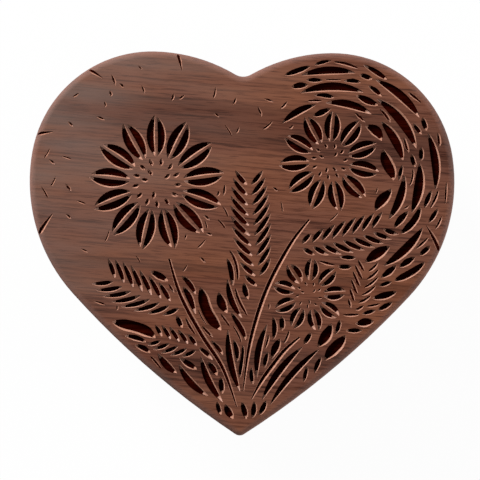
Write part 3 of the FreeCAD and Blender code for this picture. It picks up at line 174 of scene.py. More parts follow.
def top_and_painted_sheen(tree, place, split):
    """The top's band and the painted sheen of its streaks and edge, each from 0 to 1, by place on the lid."""
    height = split.outputs["Z"]
    top_band = add_node(tree, "MapRange", {"Value": height, "From Min": lid_top - TOP_BAND_DEPTH * MM,
                                          "From Max": lid_top})

    # painted sheen: the top turns grey in soft streaks, most at the left lobe
    sheen_place = add_node(tree, "Mapping", {"Vector": place, "Scale": per_mm(40, 6, 6)})
    sheen_cloud = add_node(tree, "TexNoise", {"Vector": sheen_place.outputs[0], "Scale": 1.0, "Detail": 3.0})
    sheen_streaks = add_node(tree, "MapRange", {"Value": sheen_cloud.outputs["Fac"], "From Min": 0.3, "From Max": 0.7,
                                         "To Min": 0.3})
    aslant = add_node(tree, "Math", {0: split.outputs["Y"], 1: SHEEN_SLANT, 2: split.outputs["X"]},
                      operation="MULTIPLY_ADD")
    sheen_from_left = add_node(tree, "MapRange", {"Value": aslant.outputs[0], "From Min": SHEEN_FROM[0] * MM,
                                        "From Max": SHEEN_FROM[1] * MM, "To Min": 0.8, "To Max": 0.12})
    streak_sheen = add_node(tree, "Math", {0: sheen_streaks.outputs[0], 1: sheen_from_left.outputs[0]}, operation="MULTIPLY")
    streak_sheen = add_node(tree, "Math", {0: streak_sheen.outputs[0], 1: top_band.outputs[0]}, operation="MULTIPLY")

    # painted sheen on the round of the edge grows from the flat of the top and ends down the side
    drop = add_node(tree, "MapRange", {"Value": height, "From Min": lid_top,
                                       "From Max": lid_top - SHEEN_DROP * MM})
    sheen_rise = add_node(tree, "Math", {0: drop.outputs[0], 1: 0.5}, operation="POWER")
    fade = add_node(tree, "MapRange", {"Value": height, "From Min": lid_top - 2 * TOP_BAND_DEPTH * MM,
                                       "From Max": lid_top - TOP_BAND_DEPTH * MM, "To Max": 0.37})
    edge_sheen = add_node(tree, "Math", {0: sheen_rise.outputs[0], 1: fade.outputs[0]}, operation="MULTIPLY")
    return top_band.outputs[0], streak_sheen.outputs[0], edge_sheen.outputs[0]


print("lid top at", round(lid_top / MM, 2), "mm")

# %% The walnut of the lid and of the base
GRAIN_LEAN = 4.0        # degrees that the fibres run down towards the right


def walnut(name, rings_along, lean, spacing, wander_size):
    """Oiled walnut with its fibres nearly along X. rings_along is the axis that crosses the growth rings, and
    spacing is how many millimetres lie between two dark growth lines."""
    finish, tree, gloss = new_finish(name, Specular_IOR_Level=0.03)
    upright = add_node(tree, "TexCoord").outputs["Object"]
    place = add_node(tree, "VectorRotate", {"Vector": upright, "Angle": math.radians(GRAIN_LEAN)},
                     rotation_type="Z_AXIS").outputs[0]
    split = add_node(tree, "SeparateXYZ", {"Vector": place})
    fibre_place = add_node(tree, "Mapping", {"Vector": place, "Scale": per_mm(13, 0.6, 0.6)})
    fibre = add_node(tree, "TexNoise", {"Vector": fibre_place.outputs[0], "Scale": 1.0, "Detail": 4.0,
                                        "Roughness": 0.6, "Distortion": 0.2}).outputs["Fac"]
    lines = growth_lines(tree, place, split, fibre, rings_along, lean, spacing, wander_size)
    top_band, streak_sheen, edge_sheen = top_and_painted_sheen(tree, place, split)

    # darker and orange brown bands, and fibres 0.6 mm wide and 13 mm long that crowd in the dark ones
    band_place = add_node(tree, "Mapping", {"Vector": place, "Scale": per_mm(60, 12, 12)})
    band = add_node(tree, "TexNoise", {"Vector": band_place.outputs[0], "Scale": 1.0, "Detail": 3.0})
    tone = add_node(tree, "ValToRGB", {"Fac": band.outputs["Fac"]},
                    stops=[(0.30, "#754c3e"), (0.48, "#7e503e"), (0.60, "#86543d"), (0.75, "#8a563d")])
    streaks = add_node(tree, "ValToRGB", {"Fac": fibre},
                       stops=[(0.30, "#6a5650"), (0.42, "#b9a8a1"), (0.50, "#ebe1db"), (0.75, "#ffffff")])
    crowd = add_node(tree, "MapRange", {"Value": band.outputs["Fac"], "From Min": 0.38, "From Max": 0.62,
                                        "To Min": 1.0, "To Max": 0.55})

    # open pores, dark dashes 0.32 mm wide and 6 mm long
    pore_place = add_node(tree, "Mapping", {"Vector": place, "Scale": per_mm(6, 0.32, 0.32)})
    pore = add_node(tree, "TexNoise", {"Vector": pore_place.outputs[0], "Scale": 1.0, "Detail": 1.0})
    pores = add_node(tree, "ValToRGB", {"Fac": pore.outputs["Fac"]},
                     stops=[(0.30, "#8f7a76"), (0.40, "#ffffff")])

    # painted shade: everywhere but the lid's top the wood is darker and warmer, and shows its growth lines
    # more
    side_shade = add_node(tree, "MapRange", {"Value": top_band, "To Min": 1.0, "To Max": 0.0})
    lines_share = add_node(tree, "MapRange", {"Value": top_band, "To Min": 0.8, "To Max": 0.42})
    calm = add_node(tree, "MapRange", {"Value": top_band, "To Min": 0.45, "To Max": 1.0})
    streaks_share = add_node(tree, "Math", {0: crowd.outputs[0], 1: calm.outputs[0]}, operation="MULTIPLY")
    shade = tone.outputs["Color"]
    for blend, share, layer in (("MULTIPLY", lines_share.outputs[0], lines),
                                ("MULTIPLY", streaks_share.outputs[0], streaks.outputs["Color"]),
                                ("MULTIPLY", 0.65, pores.outputs["Color"]),
                                ("MULTIPLY", side_shade.outputs[0], colour("#cba793")),
                                # painted sheen: grey streaks on the lid's top, most at the left lobe
                                ("MIX", streak_sheen, colour("#74625b")),
                                # painted sheen: a paler band on the round of the lid's edge
                                ("MIX", edge_sheen, colour("#a5857c"))):
        shade = add_node(tree, "MixRGB", {"Fac": share, "Color1": shade, "Color2": layer},
                         blend_type=blend).outputs["Color"]

    # the fibres change the gloss, and with the pores and a fine tooth they are felt as relief
    rough = add_node(tree, "MapRange", {"Value": fibre, "From Min": 0.3, "From Max": 0.7,
                                        "To Min": 0.64, "To Max": 0.52})
    tooth_place = add_node(tree, "Mapping", {"Vector": place, "Scale": per_mm(0.7, 0.5, 0.5)})
    tooth = add_node(tree, "TexNoise", {"Vector": tooth_place.outputs[0], "Scale": 1.0, "Detail": 1.0})
    relief = add_node(tree, "Math", {0: fibre, 1: pores.outputs["Color"]}, operation="ADD")
    relief = add_node(tree, "Math", {0: relief.outputs[0], 1: tooth.outputs["Fac"]}, operation="ADD")
    bump = add_node(tree, "Bump", {"Height": relief.outputs[0], "Strength": 0.4, "Distance": 0.06 * MM})
    tree.links.new(shade, gloss.inputs["Base Color"])
    tree.links.new(rough.outputs[0], gloss.inputs["Roughness"])
    tree.links.new(bump.outputs["Normal"], gloss.inputs["Normal"])
    return finish


walnut_lid = walnut("oiled_walnut_level_rings", "Z", 0.0, 5.6, (280, 38, 60))
walnut_base = walnut("oiled_walnut_upright_rings", "Y", 0.3, 7.6, (120, 70, 45))
print("walnut", walnut_lid.name, walnut_base.name)

# %% [markdown]
# ## Carved and burnt walnut
# The picture on the lid is cut by a hot beam: the slopes of each cut show fresh, paler wood, painted paler
# still as a highlight, and the steep walls and the floors are charred nearly black with a trace of the
# grain. Both are walnut fibres in other colours, and the char is dull, so it has no gloss.

# %% The walnut inside the cuts


def cut_walnut(name, stops, roughness, gloss_level):
    """Walnut fibres in the colours of a burnt cut, or of a fresh cut with a painted highlight."""
    finish, tree, gloss = new_finish(name, Roughness=roughness, Specular_IOR_Level=gloss_level)
    place = add_node(tree, "TexCoord").outputs["Object"]
    fibre_place = add_node(tree, "Mapping", {"Vector": place, "Scale": per_mm(9, 0.5, 0.5)})
    fibre = add_node(tree, "TexNoise", {"Vector": fibre_place.outputs[0], "Scale": 1.0, "Detail": 4.0,
                                        "Roughness": 0.65})
    shade = add_node(tree, "ValToRGB", {"Fac": fibre.outputs["Fac"]}, stops=stops)
    bump = add_node(tree, "Bump", {"Height": fibre.outputs["Fac"], "Strength": 0.5, "Distance": 0.08 * MM})
    tree.links.new(shade.outputs["Color"], gloss.inputs["Base Color"])
    tree.links.new(bump.outputs["Normal"], gloss.inputs["Normal"])
    return finish


# fresh wood, made paler still as a painted highlight on the shoulders that face the key lamp
FRESH_AND_HIGHLIGHT = [(0.3, "#a4705a"), (0.5, "#be876f"), (0.7, "#d09d88")]
CHARRED = [(0.3, "#140100"), (0.5, "#280401"), (0.72, "#421006")]
fresh_walnut_highlight = cut_walnut("fresh_cut_walnut_painted_highlight", FRESH_AND_HIGHLIGHT, 0.45, 0.25)
walnut_burnt = cut_walnut("charred_walnut", CHARRED, 0.9, 0.0)
print("cuts", fresh_walnut_highlight.name, walnut_burnt.name)

# %% [markdown]
# ## The picture on the lid: strokes
# A carved picture is many strokes of one cutter, wide in the middle and thin at both ends. Each stroke here
# is a row of places with the cutter's half width at each, in millimetres on the lid's top. A stroke is kept
# only where it leaves a ridge of wood to the strokes cut before it, and where it stays off the round of the
# lid's edge. All strokes run towards the upper right, so that the left side of the cutter is always at the
# upper left of a cut.

# %% A stroke and the room that it needs
RIDGE = 0.32            # mm of wood that stays between two cuts
EDGE = 1.9              # mm between a cut and the lid's outline, just past the round of the edge
PROBE = 4.45            # mm under the top, in sound wood midway between the cores of the cuts and the hollow
STEP = 0.45             # mm between two places of a stroke
TIP = 0.08              # mm, the half width of the thin end of a stroke
chance = random.Random(7)
strokes = {"vee": [], "flat": []}
taken = []


def smooth(points):
    """A row of places, close together, on a curve through the points."""
    length = sum(math.dist(p[:2], q[:2]) for p, q in zip(points, points[1:]))
    parts = max(2, math.ceil(length / (len(points) - 1) / STEP))
    ends = [points[0], *points, points[-1]]
    row = []
    for four in zip(ends, ends[1:], ends[2:], ends[3:]):
        for t in (k / parts for k in range(parts)):
            row.append([0.5 * (2 * b + (c - a) * t + (2 * a - 5 * b + 4 * c - d) * t ** 2
                               + (3 * b - a - 3 * c + d) * t ** 3) for a, b, c, d in zip(*four)])
    return np.array(row + [points[-1]])


def room(row):
    """The half width that a cut could have at each place of a row, beside the strokes cut before it."""
    if not taken:
        return np.full(len(row), np.inf)
    others = np.concatenate(taken)
    gaps = np.hypot(*(row[:, None, axis] - others[None, :, axis] for axis in (0, 1)))
    return (gaps - others[:, 2]).min(axis=1) - RIDGE


def edge_room(row):
    """The half width that a cut could have at each place of a row, inside the lid's edge. A place lies beyond
    the edge where the way to the nearest face runs against that face's outward side."""
    reach = []
    for place in row:
        inside = Vector((place[0] * MM, place[1] * MM, lid_top - PROBE * MM))
        _, spot, outward, _ = nodes["lid"].closest_point_on_mesh(inside)
        way = spot - inside
        beyond = way.dot(outward) < -0.5 * way.length
        reach.append((-way.length if beyond else way.length) / MM)
    return np.array(reach) - EDGE


def stroke(tool, row, runs_out=False):
    """Adds one stroke if it keeps its ridges, and stays on the lid unless it runs out. Returns if it did."""
    if (row[-1] - row[0])[:2].sum() < 0:
        row = row[::-1]
    if (room(row) < row[:, 2]).any() or not runs_out and (edge_room(row) < row[:, 2]).any():
        return False
    taken.append(row)
    strokes[tool].append(row)
    return True


def along(start, heading, length, bend, share):
    """A place on a curved axis: share of the way from start, where bend is the sideways reach at its end."""
    a = math.radians(heading)
    far, side = length * share, bend * share * share
    return (start[0] + far * math.cos(a) - side * math.sin(a),
            start[1] + far * math.sin(a) + side * math.cos(a))


def around(centre, angle, far):
    """The place far millimetres from a centre, at an angle in degrees from +X."""
    return along(centre, angle, far, 0.0, 1.0)


print("ridges of", RIDGE, "mm, and", EDGE, "mm to the edge")

# %% [markdown]
# ## The picture on the lid: the main cuts
# The solid lid already holds the cores of the main cuts: the petals of three daisies, reeds that fan out
# from the heart's point, and gusts of wind round the right lobe. The finished cuts follow the same sizes,
# but they are full, with sloping shoulders, so each of them takes up its core. A petal is two cuts beside a
# thin rib.

# %% Petals, reeds and gusts
# each flower is x, y and reach in mm, how many petals it has, and the degrees that it is turned
FLOWERS = ((-22.0, 15.5, 17.5, 13, 8.0), (22.5, 21.5, 13.0, 11, 20.0), (17.5, -13.0, 9.5, 9, 4.0))
PETAL_FOOT = 0.4        # where a petal starts, as a share of the flower's reach
PETAL_RIB = 0.72        # mm between the two cuts of a petal
PETAL_GAP = 0.85        # mm between two petals
SHORT_PETAL = 0.97      # the second cut of a petal is a little shorter
ROOT = (0.0, -53.0)     # mm, the place below the heart's point that the reeds fan out from
REED_BOW = 0.9          # mm that the wind bends a reed
# each reed is the degrees and mm from the root to its foot, the same to its tip, and its half width in mm
REEDS = ((90.0, 15.0, 96.0, 31.0, 1.0), (89.5, 34.0, 94.5, 44.0, 0.9), (76.8, 19.0, 78.0, 33.0, 0.95),
         (66.0, 14.0, 59.0, 31.0, 1.0), (56.0, 14.0, 52.0, 33.0, 0.9), (110.0, 13.0, 113.0, 26.0, 1.0),
         (121.0, 16.0, 126.0, 27.0, 1.0))
LOBE = (23.335, 18.133)     # mm, the middle of the right lobe
# each gust is its mm from that middle, the degrees at which it starts and ends, and its half width in mm
GUSTS = ((18.5, -38.0, 0.0, 1.2), (18.5, 12.0, 48.0, 1.3), (18.5, 58.0, 96.0, 1.1), (18.5, 104.0, 135.0, 1.0),
         (22.6, -25.0, 8.0, 1.4), (22.6, 18.0, 60.0, 1.4), (22.6, 70.0, 112.0, 1.2), (26.8, -8.0, 24.0, 1.2),
         (26.8, 34.0, 66.0, 1.2), (26.8, 78.0, 108.0, 1.1), (27.0, -60.0, -30.0, 1.3))
CUT_SHARES = (0.0, 0.06, 0.2, 0.35, 0.5, 0.65, 0.8, 0.94, 1.0)      # places along a main cut
CUT_FULLNESS = 0.75     # 1 swells a main cut evenly from its ends, and less makes its ends fuller


def main_cut(start, end, bow, half):
    """One broad cut between two places, whose middle lies bow millimetres left of the straight line."""
    run = np.subtract(end, start)
    left = np.array((-run[1], run[0])) / np.hypot(*run)
    points = []
    for share in CUT_SHARES:
        swell = 4 * share * (1 - share)
        points.append((*(start + run * share + left * bow * swell), max(TIP, half * swell ** CUT_FULLNESS)))
    return stroke("flat", smooth(points))


def flower(x, y, reach, petals, turn):
    """A daisy of petals in pairs of cuts. Returns how many cuts were kept."""
    half = (math.pi * reach * (1 + PETAL_FOOT) / petals - PETAL_RIB - PETAL_GAP) / 4
    cuts = 0
    for heading in (turn + 360 * k / petals for k in range(petals)):
        for side, tip in ((1, reach), (-1, SHORT_PETAL * reach)):
            foot = around((x, y), heading + 90, side * PETAL_RIB / 2)
            start, end = around(foot, heading, PETAL_FOOT * reach), around(foot, heading, tip)
            cuts += main_cut(start, end, side * half, half)
    return cuts


kept = sum(flower(*place) for place in FLOWERS)
for first, near, last, far, half in REEDS:
    kept += main_cut(around(ROOT, first, near), around(ROOT, last, far), REED_BOW, half)
for radius, first, last, half in GUSTS:
    bow = radius * (math.cos(math.radians(last - first) / 2) - 1)
    kept += main_cut(around(LOBE, first, radius), around(LOBE, last, radius), bow, half)
asked = sum(2 * place[3] for place in FLOWERS) + len(REEDS) + len(GUSTS)
print("main cuts", kept, "of", asked)

# %% [markdown]
# ## The picture on the lid: seeds, stems and leaves
# Two rings of short seeds fill the heart of each flower, and thin stems run from the flowers to the heart's
# point. A leaf is a row of slanting cuts on both sides of a middle rib that is left standing, as a woodcut
# shows a leaf, so its veins are the ridges between the cuts.

# %% Cut the seeds and the stems
SEED_BEND = 0.3         # mm that a seed bends to the left
SEED_CUT = ((0.0, 0.2), (0.25, 0.9), (0.5, 1.0), (0.75, 0.7), (1.0, 0.15))  # shares of its length and width
OUTER_SEEDS, INNER_SEEDS = 0.26, 0.13   # where the two rings start, as shares of the flower's reach
SEED_LENGTH = 0.11      # a share of that reach too
SEEDS_WIDE = 30         # how many seeds' half widths make up that reach
STEMS = (((-18.6, -4.0), (-15.5, -13.5), (-10.0, -23.5), (-4.5, -32.0), (-0.8, -42.0)),
         ((17.4, 6.4), (12.4, -0.4), (6.5, -12.0), (2.6, -25.0), (0.8, -38.0)),
         ((15.2, -24.0), (11.6, -27.2), (8.6, -31.0), (5.6, -35.2), (3.0, -40.0)))
STEM_HALVES = (0.35, 0.62, 0.7, 0.62, 0.2)      # mm, the half widths of a stem at its places


def short_cut(start, heading, length, half):
    """A short vee cut, such as a seed, bent a little to the left."""
    points = [(*along(start, heading, length, SEED_BEND, share), half * width) for share, width in SEED_CUT]
    return stroke("vee", smooth(points))


kept = 0
for x, y, reach, petals, turn in FLOWERS:
    for ring, count in ((OUTER_SEEDS, petals), (INNER_SEEDS, petals // 2 + 2)):
        for heading in (turn + 360 * (k + 0.5) / count for k in range(count)):
            start = around((x, y), heading, ring * reach)
            kept += short_cut(start, heading, SEED_LENGTH * reach, reach / SEEDS_WIDE)
print("seeds", kept)
kept = 0
for stem in STEMS:
    kept += stroke("vee", smooth([(*place, half) for place, half in zip(stem, STEM_HALVES)]))
print("stems", kept)

# %% Cut the leaves
# each leaf is its foot in mm, heading in degrees, length, half width and bend in mm, and cuts on each side
LEAVES = (((-14.5, -16.5), 168.0, 25.0, 5.4, -5.0, 8), ((5.0, -12.5), 101.0, 35.0, 5.2, -3.5, 11),
          ((14.2, -0.6), 8.0, 29.0, 4.4, 3.5, 9), ((-8.0, -27.5), 172.0, 17.0, 3.6, -2.0, 6),
          ((28.5, -17.5), 62.0, 15.0, 3.4, 3.0, 6))
LEAF_RIB = 0.6          # mm from the middle of the rib to the foot of a cut
LEAF_FOOT = 0.04        # where the first cut starts, as a share of the leaf's length
LEAF_VEINED = 0.82      # the share of its length that the cuts are set out on
LEAF_LEAST = 1.6        # mm, the least half width of a leaf
VEIN_SLANT = 44.0       # degrees between a vein and the rib
VEIN_HALF = 0.24        # mm, half of the ridge that is left as a vein
VEIN_CUT = ((0.0, 0.3), (0.3, 0.95), (0.58, 1.0), (0.84, 0.66), (1.0, 0.06))    # as a seed's
BROAD_CUT = 0.5         # mm, the half width from which a cut of a leaf has a flat floor


def leaf(start, heading, length, half, bend, veins):
    """A leaf of slanting cuts, half millimetres wide on each side of its rib. Returns how many were kept."""
    pitch = LEAF_VEINED * length / veins
    broad = 0.5 * pitch * math.sin(math.radians(VEIN_SLANT)) - VEIN_HALF
    cuts = 0
    for foot in (LEAF_FOOT + LEAF_VEINED * k / veins for k in range(veins)):
        # a leaf is broadest a little before its middle, and a cut bends forward towards its tip
        spread = max(LEAF_LEAST, half * math.sin(math.pi * (0.16 + 0.8 * foot)) ** 0.8)
        for side in (1, -1):
            points = []
            for step, width in VEIN_CUT:
                out = LEAF_RIB + (spread - LEAF_RIB) * step
                share = foot + out * (0.75 + 0.35 * step) / math.tan(math.radians(VEIN_SLANT)) / length
                axis = along(start, heading, length, bend, share)
                ahead = along(start, heading, length, bend, share + 0.01)
                run = Vector((ahead[0] - axis[0], ahead[1] - axis[1])).normalized() * side * out
                points.append((axis[0] - run.y, axis[1] + run.x, width * broad))
            cuts += stroke("flat" if broad > BROAD_CUT else "vee", smooth(points))
    return cuts


print("leaf cuts", sum(leaf(*place) for place in LEAVES))

# %% [markdown]
# ## The picture on the lid: the fill
# Between the main cuts, strands of grass and of wind fill the wood from the heart's point to the right
# lobe, and the left lobe stays nearly bare. A strand swells and narrows with the room beside it and breaks
# where there is none, as a carver works round a flower. First come the broad strands, then finer ones in
# the gaps. A few cuts run out over the round of the edge, and loose seeds drift over what is left.

# %% A strand that fits itself between its neighbours
LEAST = 0.25            # mm, the half width under which a strand breaks
TAPER = 0.75            # how fast the end of a strand widens
TAPER_FROM = 0.1        # mm, the half width that it widens from
FIRST_LIFT = (4, 20)    # after how many places the cutter is first lifted
NEXT_LIFT = (14, 34)    # after how many more places it is lifted again
LIFT = 2                # how many places are left out by that
SHORTEST = 5            # a strand has more places than this
EVENED = 5              # over how many places its half width is evened out
BROAD_STRAND = 0.55     # mm, the half width from which a strand has a flat floor


def strand(line, broad):
    """Cuts what it can of a line of places, at most broad on each side. Returns how many cuts that made."""
    line = np.array(line)
    free = np.minimum(broad, np.minimum(room(line), edge_room(line)))
    lift = chance.randrange(*FIRST_LIFT)
    while lift < len(free):
        free[lift:lift + LIFT] = 0.0
        lift += chance.randrange(*NEXT_LIFT)
    free[-1] = 0.0
    cuts, run = 0, []
    for place, half in zip(line, free):
        if half > LEAST:
            run.append((*place, half))
            continue
        if len(run) > SHORTEST:
            row = np.array(run)
            far = np.hstack([0.0, np.cumsum(np.hypot(*np.diff(row[:, :2], axis=0).T))])
            half = np.minimum(row[:, 2], TAPER_FROM + TAPER * np.minimum(far, far[-1] - far))
            level = np.convolve(np.pad(half, EVENED // 2, "edge"), np.full(EVENED, 1 / EVENED), "valid")
            row[:, 2] = np.maximum(TIP, np.minimum(half, level))
            cuts += stroke("flat" if row[:, 2].max() > BROAD_STRAND else "vee", smooth(row.tolist()))
        run = []
    return cuts


print("strands break under", 2 * LEAST, "mm")

# %% Cut the runs over the edge
RUNS_RIGHT = (-28, 12, 47, 96)      # degrees round the right lobe at which a run starts
RUNS_LEFT = (74, 118, 158, 203)     # degrees round the left lobe
RUN_FROM = 27.5         # mm from the lobe's middle to where a run starts
RUN_LENGTH = 8.5        # mm
RUN_TURN = 9            # degrees that it drifts on the way
RUN_CUT = ((0.0, TIP), (0.25, 0.45), (0.5, 0.65), (0.75, 0.7), (1.0, 0.6))  # share of it, half width in mm

kept = 0
for side, angles in ((1, RUNS_RIGHT), (-1, RUNS_LEFT)):
    lobe = (side * LOBE[0], LOBE[1])
    for angle in angles:
        points = [(*around(lobe, angle - side * RUN_TURN * share, RUN_FROM + RUN_LENGTH * share), half)
                  for share, half in RUN_CUT]
        kept += stroke("vee", smooth(points), runs_out=True)
print("runs over the edge", kept)

# %% Cut the grass and the wind
PASSES = ((1.5, 3.1), (1.0, 1.7), (0.75, 1.0), (0.5, 0.6))  # mm, the strands' half width and pitch
LINE_STEP = 0.7         # mm between two places of a line
GRASS_FAN = (44.0, 136.0)       # degrees from the root over which the grass fans out
GRASS_PITCH_AT = 26     # mm from the root at which the blades are a pitch apart
GRASS_FROM = 8.0        # mm from the root to where the blades start
HORIZON = 47.0          # mm from the root to where the grass ends
HORIZON_WAVES = 6       # mm that the tips rise and fall
WAVE_SPREAD = 4         # degrees of the fan for each radian of that
LEAN = 8.0              # degrees that the wind bends the grass over LEAN_OVER
LEAN_OVER = 16          # mm
UPRIGHT_AT = 30         # mm from the root at which a blade is at its own angle
SWAY = 60               # degrees that a blade snakes at 1 mm from the root, about 1 mm sideways anywhere
SWAY_STEP = 3.1         # mm of a blade for each radian of its snaking
SWAY_SHIFT = 0.09       # radians that the snaking shifts from one degree of the fan to the next
WIND_REACH = (15.0, 44.0)       # mm from the lobe's middle
WIND_TURN = (-112.0, 118.0)     # degrees
WIND_WAVE = 0.8         # mm that a strand of wind snakes
WIND_WAVES = 7          # how often it does so in a turn

grass = wind = 0
for broad, pitch in PASSES:
    for angle in np.arange(*GRASS_FAN, math.degrees(pitch / GRASS_PITCH_AT)):
        line = []
        for far in np.arange(GRASS_FROM, HORIZON + HORIZON_WAVES * math.sin(angle / WAVE_SPREAD), LINE_STEP):
            sway = SWAY / far * math.sin(far / SWAY_STEP + angle * SWAY_SHIFT)
            line.append(around(ROOT, angle + LEAN * (far - UPRIGHT_AT) / LEAN_OVER + sway, far))
        grass += strand(line, broad)
    for reach in np.arange(*WIND_REACH, pitch):
        line = []
        for angle in np.arange(*WIND_TURN, math.degrees(LINE_STEP / reach)):
            wave = WIND_WAVE * math.sin(math.radians(WIND_WAVES * angle) + reach)
            line.append(around(LOBE, angle, reach + wave))
        wind += strand(line, broad)
print("grass cuts", grass, "wind cuts", wind)

# %% Cut the loose seeds
SEED_TRIES = 320        # most of them find no room
SEED_FIELD = ((-53, 53), (-46, 48))     # mm, the lid's box
SEED_HEADING = (20, 160)        # degrees
LOOSE_LENGTH = (1.4, 3.6)       # mm
LOOSE_HALF = (0.26, 0.42)       # mm

kept = 0
for _ in range(SEED_TRIES):
    spot = [chance.uniform(*side) for side in SEED_FIELD]
    kept += short_cut(spot, *(chance.uniform(*span) for span in (SEED_HEADING, LOOSE_LENGTH, LOOSE_HALF)))
print("loose seeds", kept)

# %% [markdown]
# ## Carving the lid
# Each stroke is a path that carries the cutter's section along it, scaled by the half width at each place,
# as a router's bit sinks deeper where a cut is wider, down to a depth at which it stops. As in chip
# carving, the cutter leans: the wall at the upper left is steep, and the shoulder at the lower right slopes
# and catches the light. The shoulders are fresh wood, painted paler still as a highlight, and the steep
# walls and the floors are charred, so the cutters wear these two finishes and leave them in the cuts. A
# Boolean takes the cutters away from a copy of the lid, whose loose triangles are merged first, because it
# needs a closed shape.

# %% The cutters
# corners of a cutter's section, across it and up, in half widths
SECTIONS = {
    "vee": ((-1.0, 0.0), (-0.8, -0.3), (-0.35, -1.1), (0.15, -1.1), (0.45, -0.55), (1.0, 0.0), (1.0, 0.6),
            (-1.0, 0.6)),
    "flat": ((-1.0, 0.0), (-0.92, -0.15), (-0.86, -2.2), (0.64, -2.2), (0.7, -0.3), (1.0, 0.0), (1.0, 0.4),
             (-1.0, 0.4)),
}
DEEPEST = 1.2           # mm at which a cutter stops
SLOPE = (0.55, 0.93)    # how level a slope is, from its normal, to get fresh wood with a painted highlight
CUTTER_WELD = 0.002     # mm within which two corners of a cutter are one


def only(piece):
    """Leaves one object selected and active, ready for an operator."""
    if bpy.context.mode != "OBJECT":
        bpy.ops.object.mode_set(mode="OBJECT")
    bpy.ops.object.select_all(action="DESELECT")
    piece.select_set(True)
    bpy.context.view_layer.objects.active = piece


def drawn(name, lines, closed):
    """A curve object of several splines, each a row of (x, y, half width) in millimetres."""
    line = bpy.data.curves.new(name, "CURVE")
    line.dimensions = "3D"
    line.twist_mode = "Z_UP"
    for points in lines:
        spline = line.splines.new("POLY")
        spline.points.add(len(points) - 1)
        for knot, (x, y, w) in zip(spline.points, points):
            knot.co = (x * MM, y * MM, 0.0, 1.0)
            knot.radius = w
        spline.use_cyclic_u = closed
    made = bpy.data.objects.new(name, line)
    bpy.context.scene.collection.objects.link(made)
    return made


cutters = []
for tool, section in SECTIONS.items():
    outline = drawn(tool + "_section", [[(x, z, 1.0) for x, z in section]], True)
    cutter = drawn(tool + "_cutter", [np.vstack([row[:-1:2], row[-1:]]) for row in strokes[tool]], False)
    cutter.data.bevel_mode = "OBJECT"
    cutter.data.bevel_object = outline
    cutter.data.use_fill_caps = True
    only(cutter)
    bpy.ops.object.convert(target="MESH")
    bpy.data.objects.remove(outline)
    for corner in cutter.data.vertices:
        corner.co.z = max(corner.co.z, -DEEPEST * MM)
    bpy.ops.object.mode_set(mode="EDIT")
    bpy.ops.mesh.select_all(action="SELECT")
    bpy.ops.mesh.remove_doubles(threshold=CUTTER_WELD * MM)
    bpy.ops.mesh.normals_make_consistent(inside=False)
    bpy.ops.object.mode_set(mode="OBJECT")
    for finish in (walnut_burnt, fresh_walnut_highlight):
        cutter.data.materials.append(finish)
    # the shoulders that face the key lamp take the fresh wood with its painted highlight, the rest the char
    for face in cutter.data.polygons:
        face.material_index = int(SLOPE[0] < -face.normal.z < SLOPE[1])
    cutters.append(cutter)
    print(tool, "cutter", len(cutter.data.polygons), "faces")

# %% Merge a copy of the lid into a closed shape
LID_WELD = 0.001        # mm within which two corners of the lid are one
LEVEL = 0.05            # degrees under which two faces of the lid become one

carved_lid = bpy.data.objects.new("carved_lid", nodes["lid"].data.copy())
bpy.context.scene.collection.objects.link(carved_lid)
only(carved_lid)
bpy.ops.mesh.customdata_custom_splitnormals_clear()
bpy.ops.object.mode_set(mode="EDIT")
bpy.ops.mesh.select_all(action="SELECT")
bpy.ops.mesh.remove_doubles(threshold=LID_WELD * MM)
bpy.ops.mesh.dissolve_limited(angle_limit=math.radians(LEVEL))
bpy.ops.object.mode_set(mode="OBJECT")
carved_lid.data.materials.clear()
carved_lid.data.materials.append(walnut_lid)
for face in carved_lid.data.polygons:
    face.material_index = 0
print("plain lid", len(carved_lid.data.polygons), "faces")

# %% Sink the cutters into it
SINK = 0.02             # mm that the widest part of a cutter lies under the surface
CREASE = 28             # degrees from which an edge stays sharp

for cutter in cutters:
    only(cutter)
    cutter.location.z = lid_top - SINK * MM
    bpy.ops.object.transform_apply(location=True, rotation=False, scale=False)
    only(carved_lid)
    bpy.ops.object.modifier_add(type="BOOLEAN")
    cut = carved_lid.modifiers[-1]
    cut.object = cutter
    cut.operation = "DIFFERENCE"
    cut.solver = "EXACT"
    cut.material_mode = "TRANSFER"
    bpy.ops.object.modifier_apply(modifier=cut.name)
    bpy.data.objects.remove(cutter)
bpy.ops.object.shade_smooth_by_angle(angle=math.radians(CREASE))
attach(carved_lid, "lid")
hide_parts("lid")
print("carved lid", len(carved_lid.data.polygons), "faces")
print("its finishes", [finish.name for finish in carved_lid.data.materials])

# %% [markdown]
# ## Brass, steel and zinc
# The movement is brass, steel and die-cast zinc. A metal's look is its colour, its tarnish and the marks of
# the tool: plates are brushed along their length, round pieces show rings from the lathe, and castings are
# matt and grainy. One function gives a metal its tarnish and its marks. Straight marks are a stretched
# pattern, and for a turned piece the pattern is measured from its axis, so that its rings run round it.

# %% Tarnish and tool marks
MARK_DEPTH = 0.02       # mm


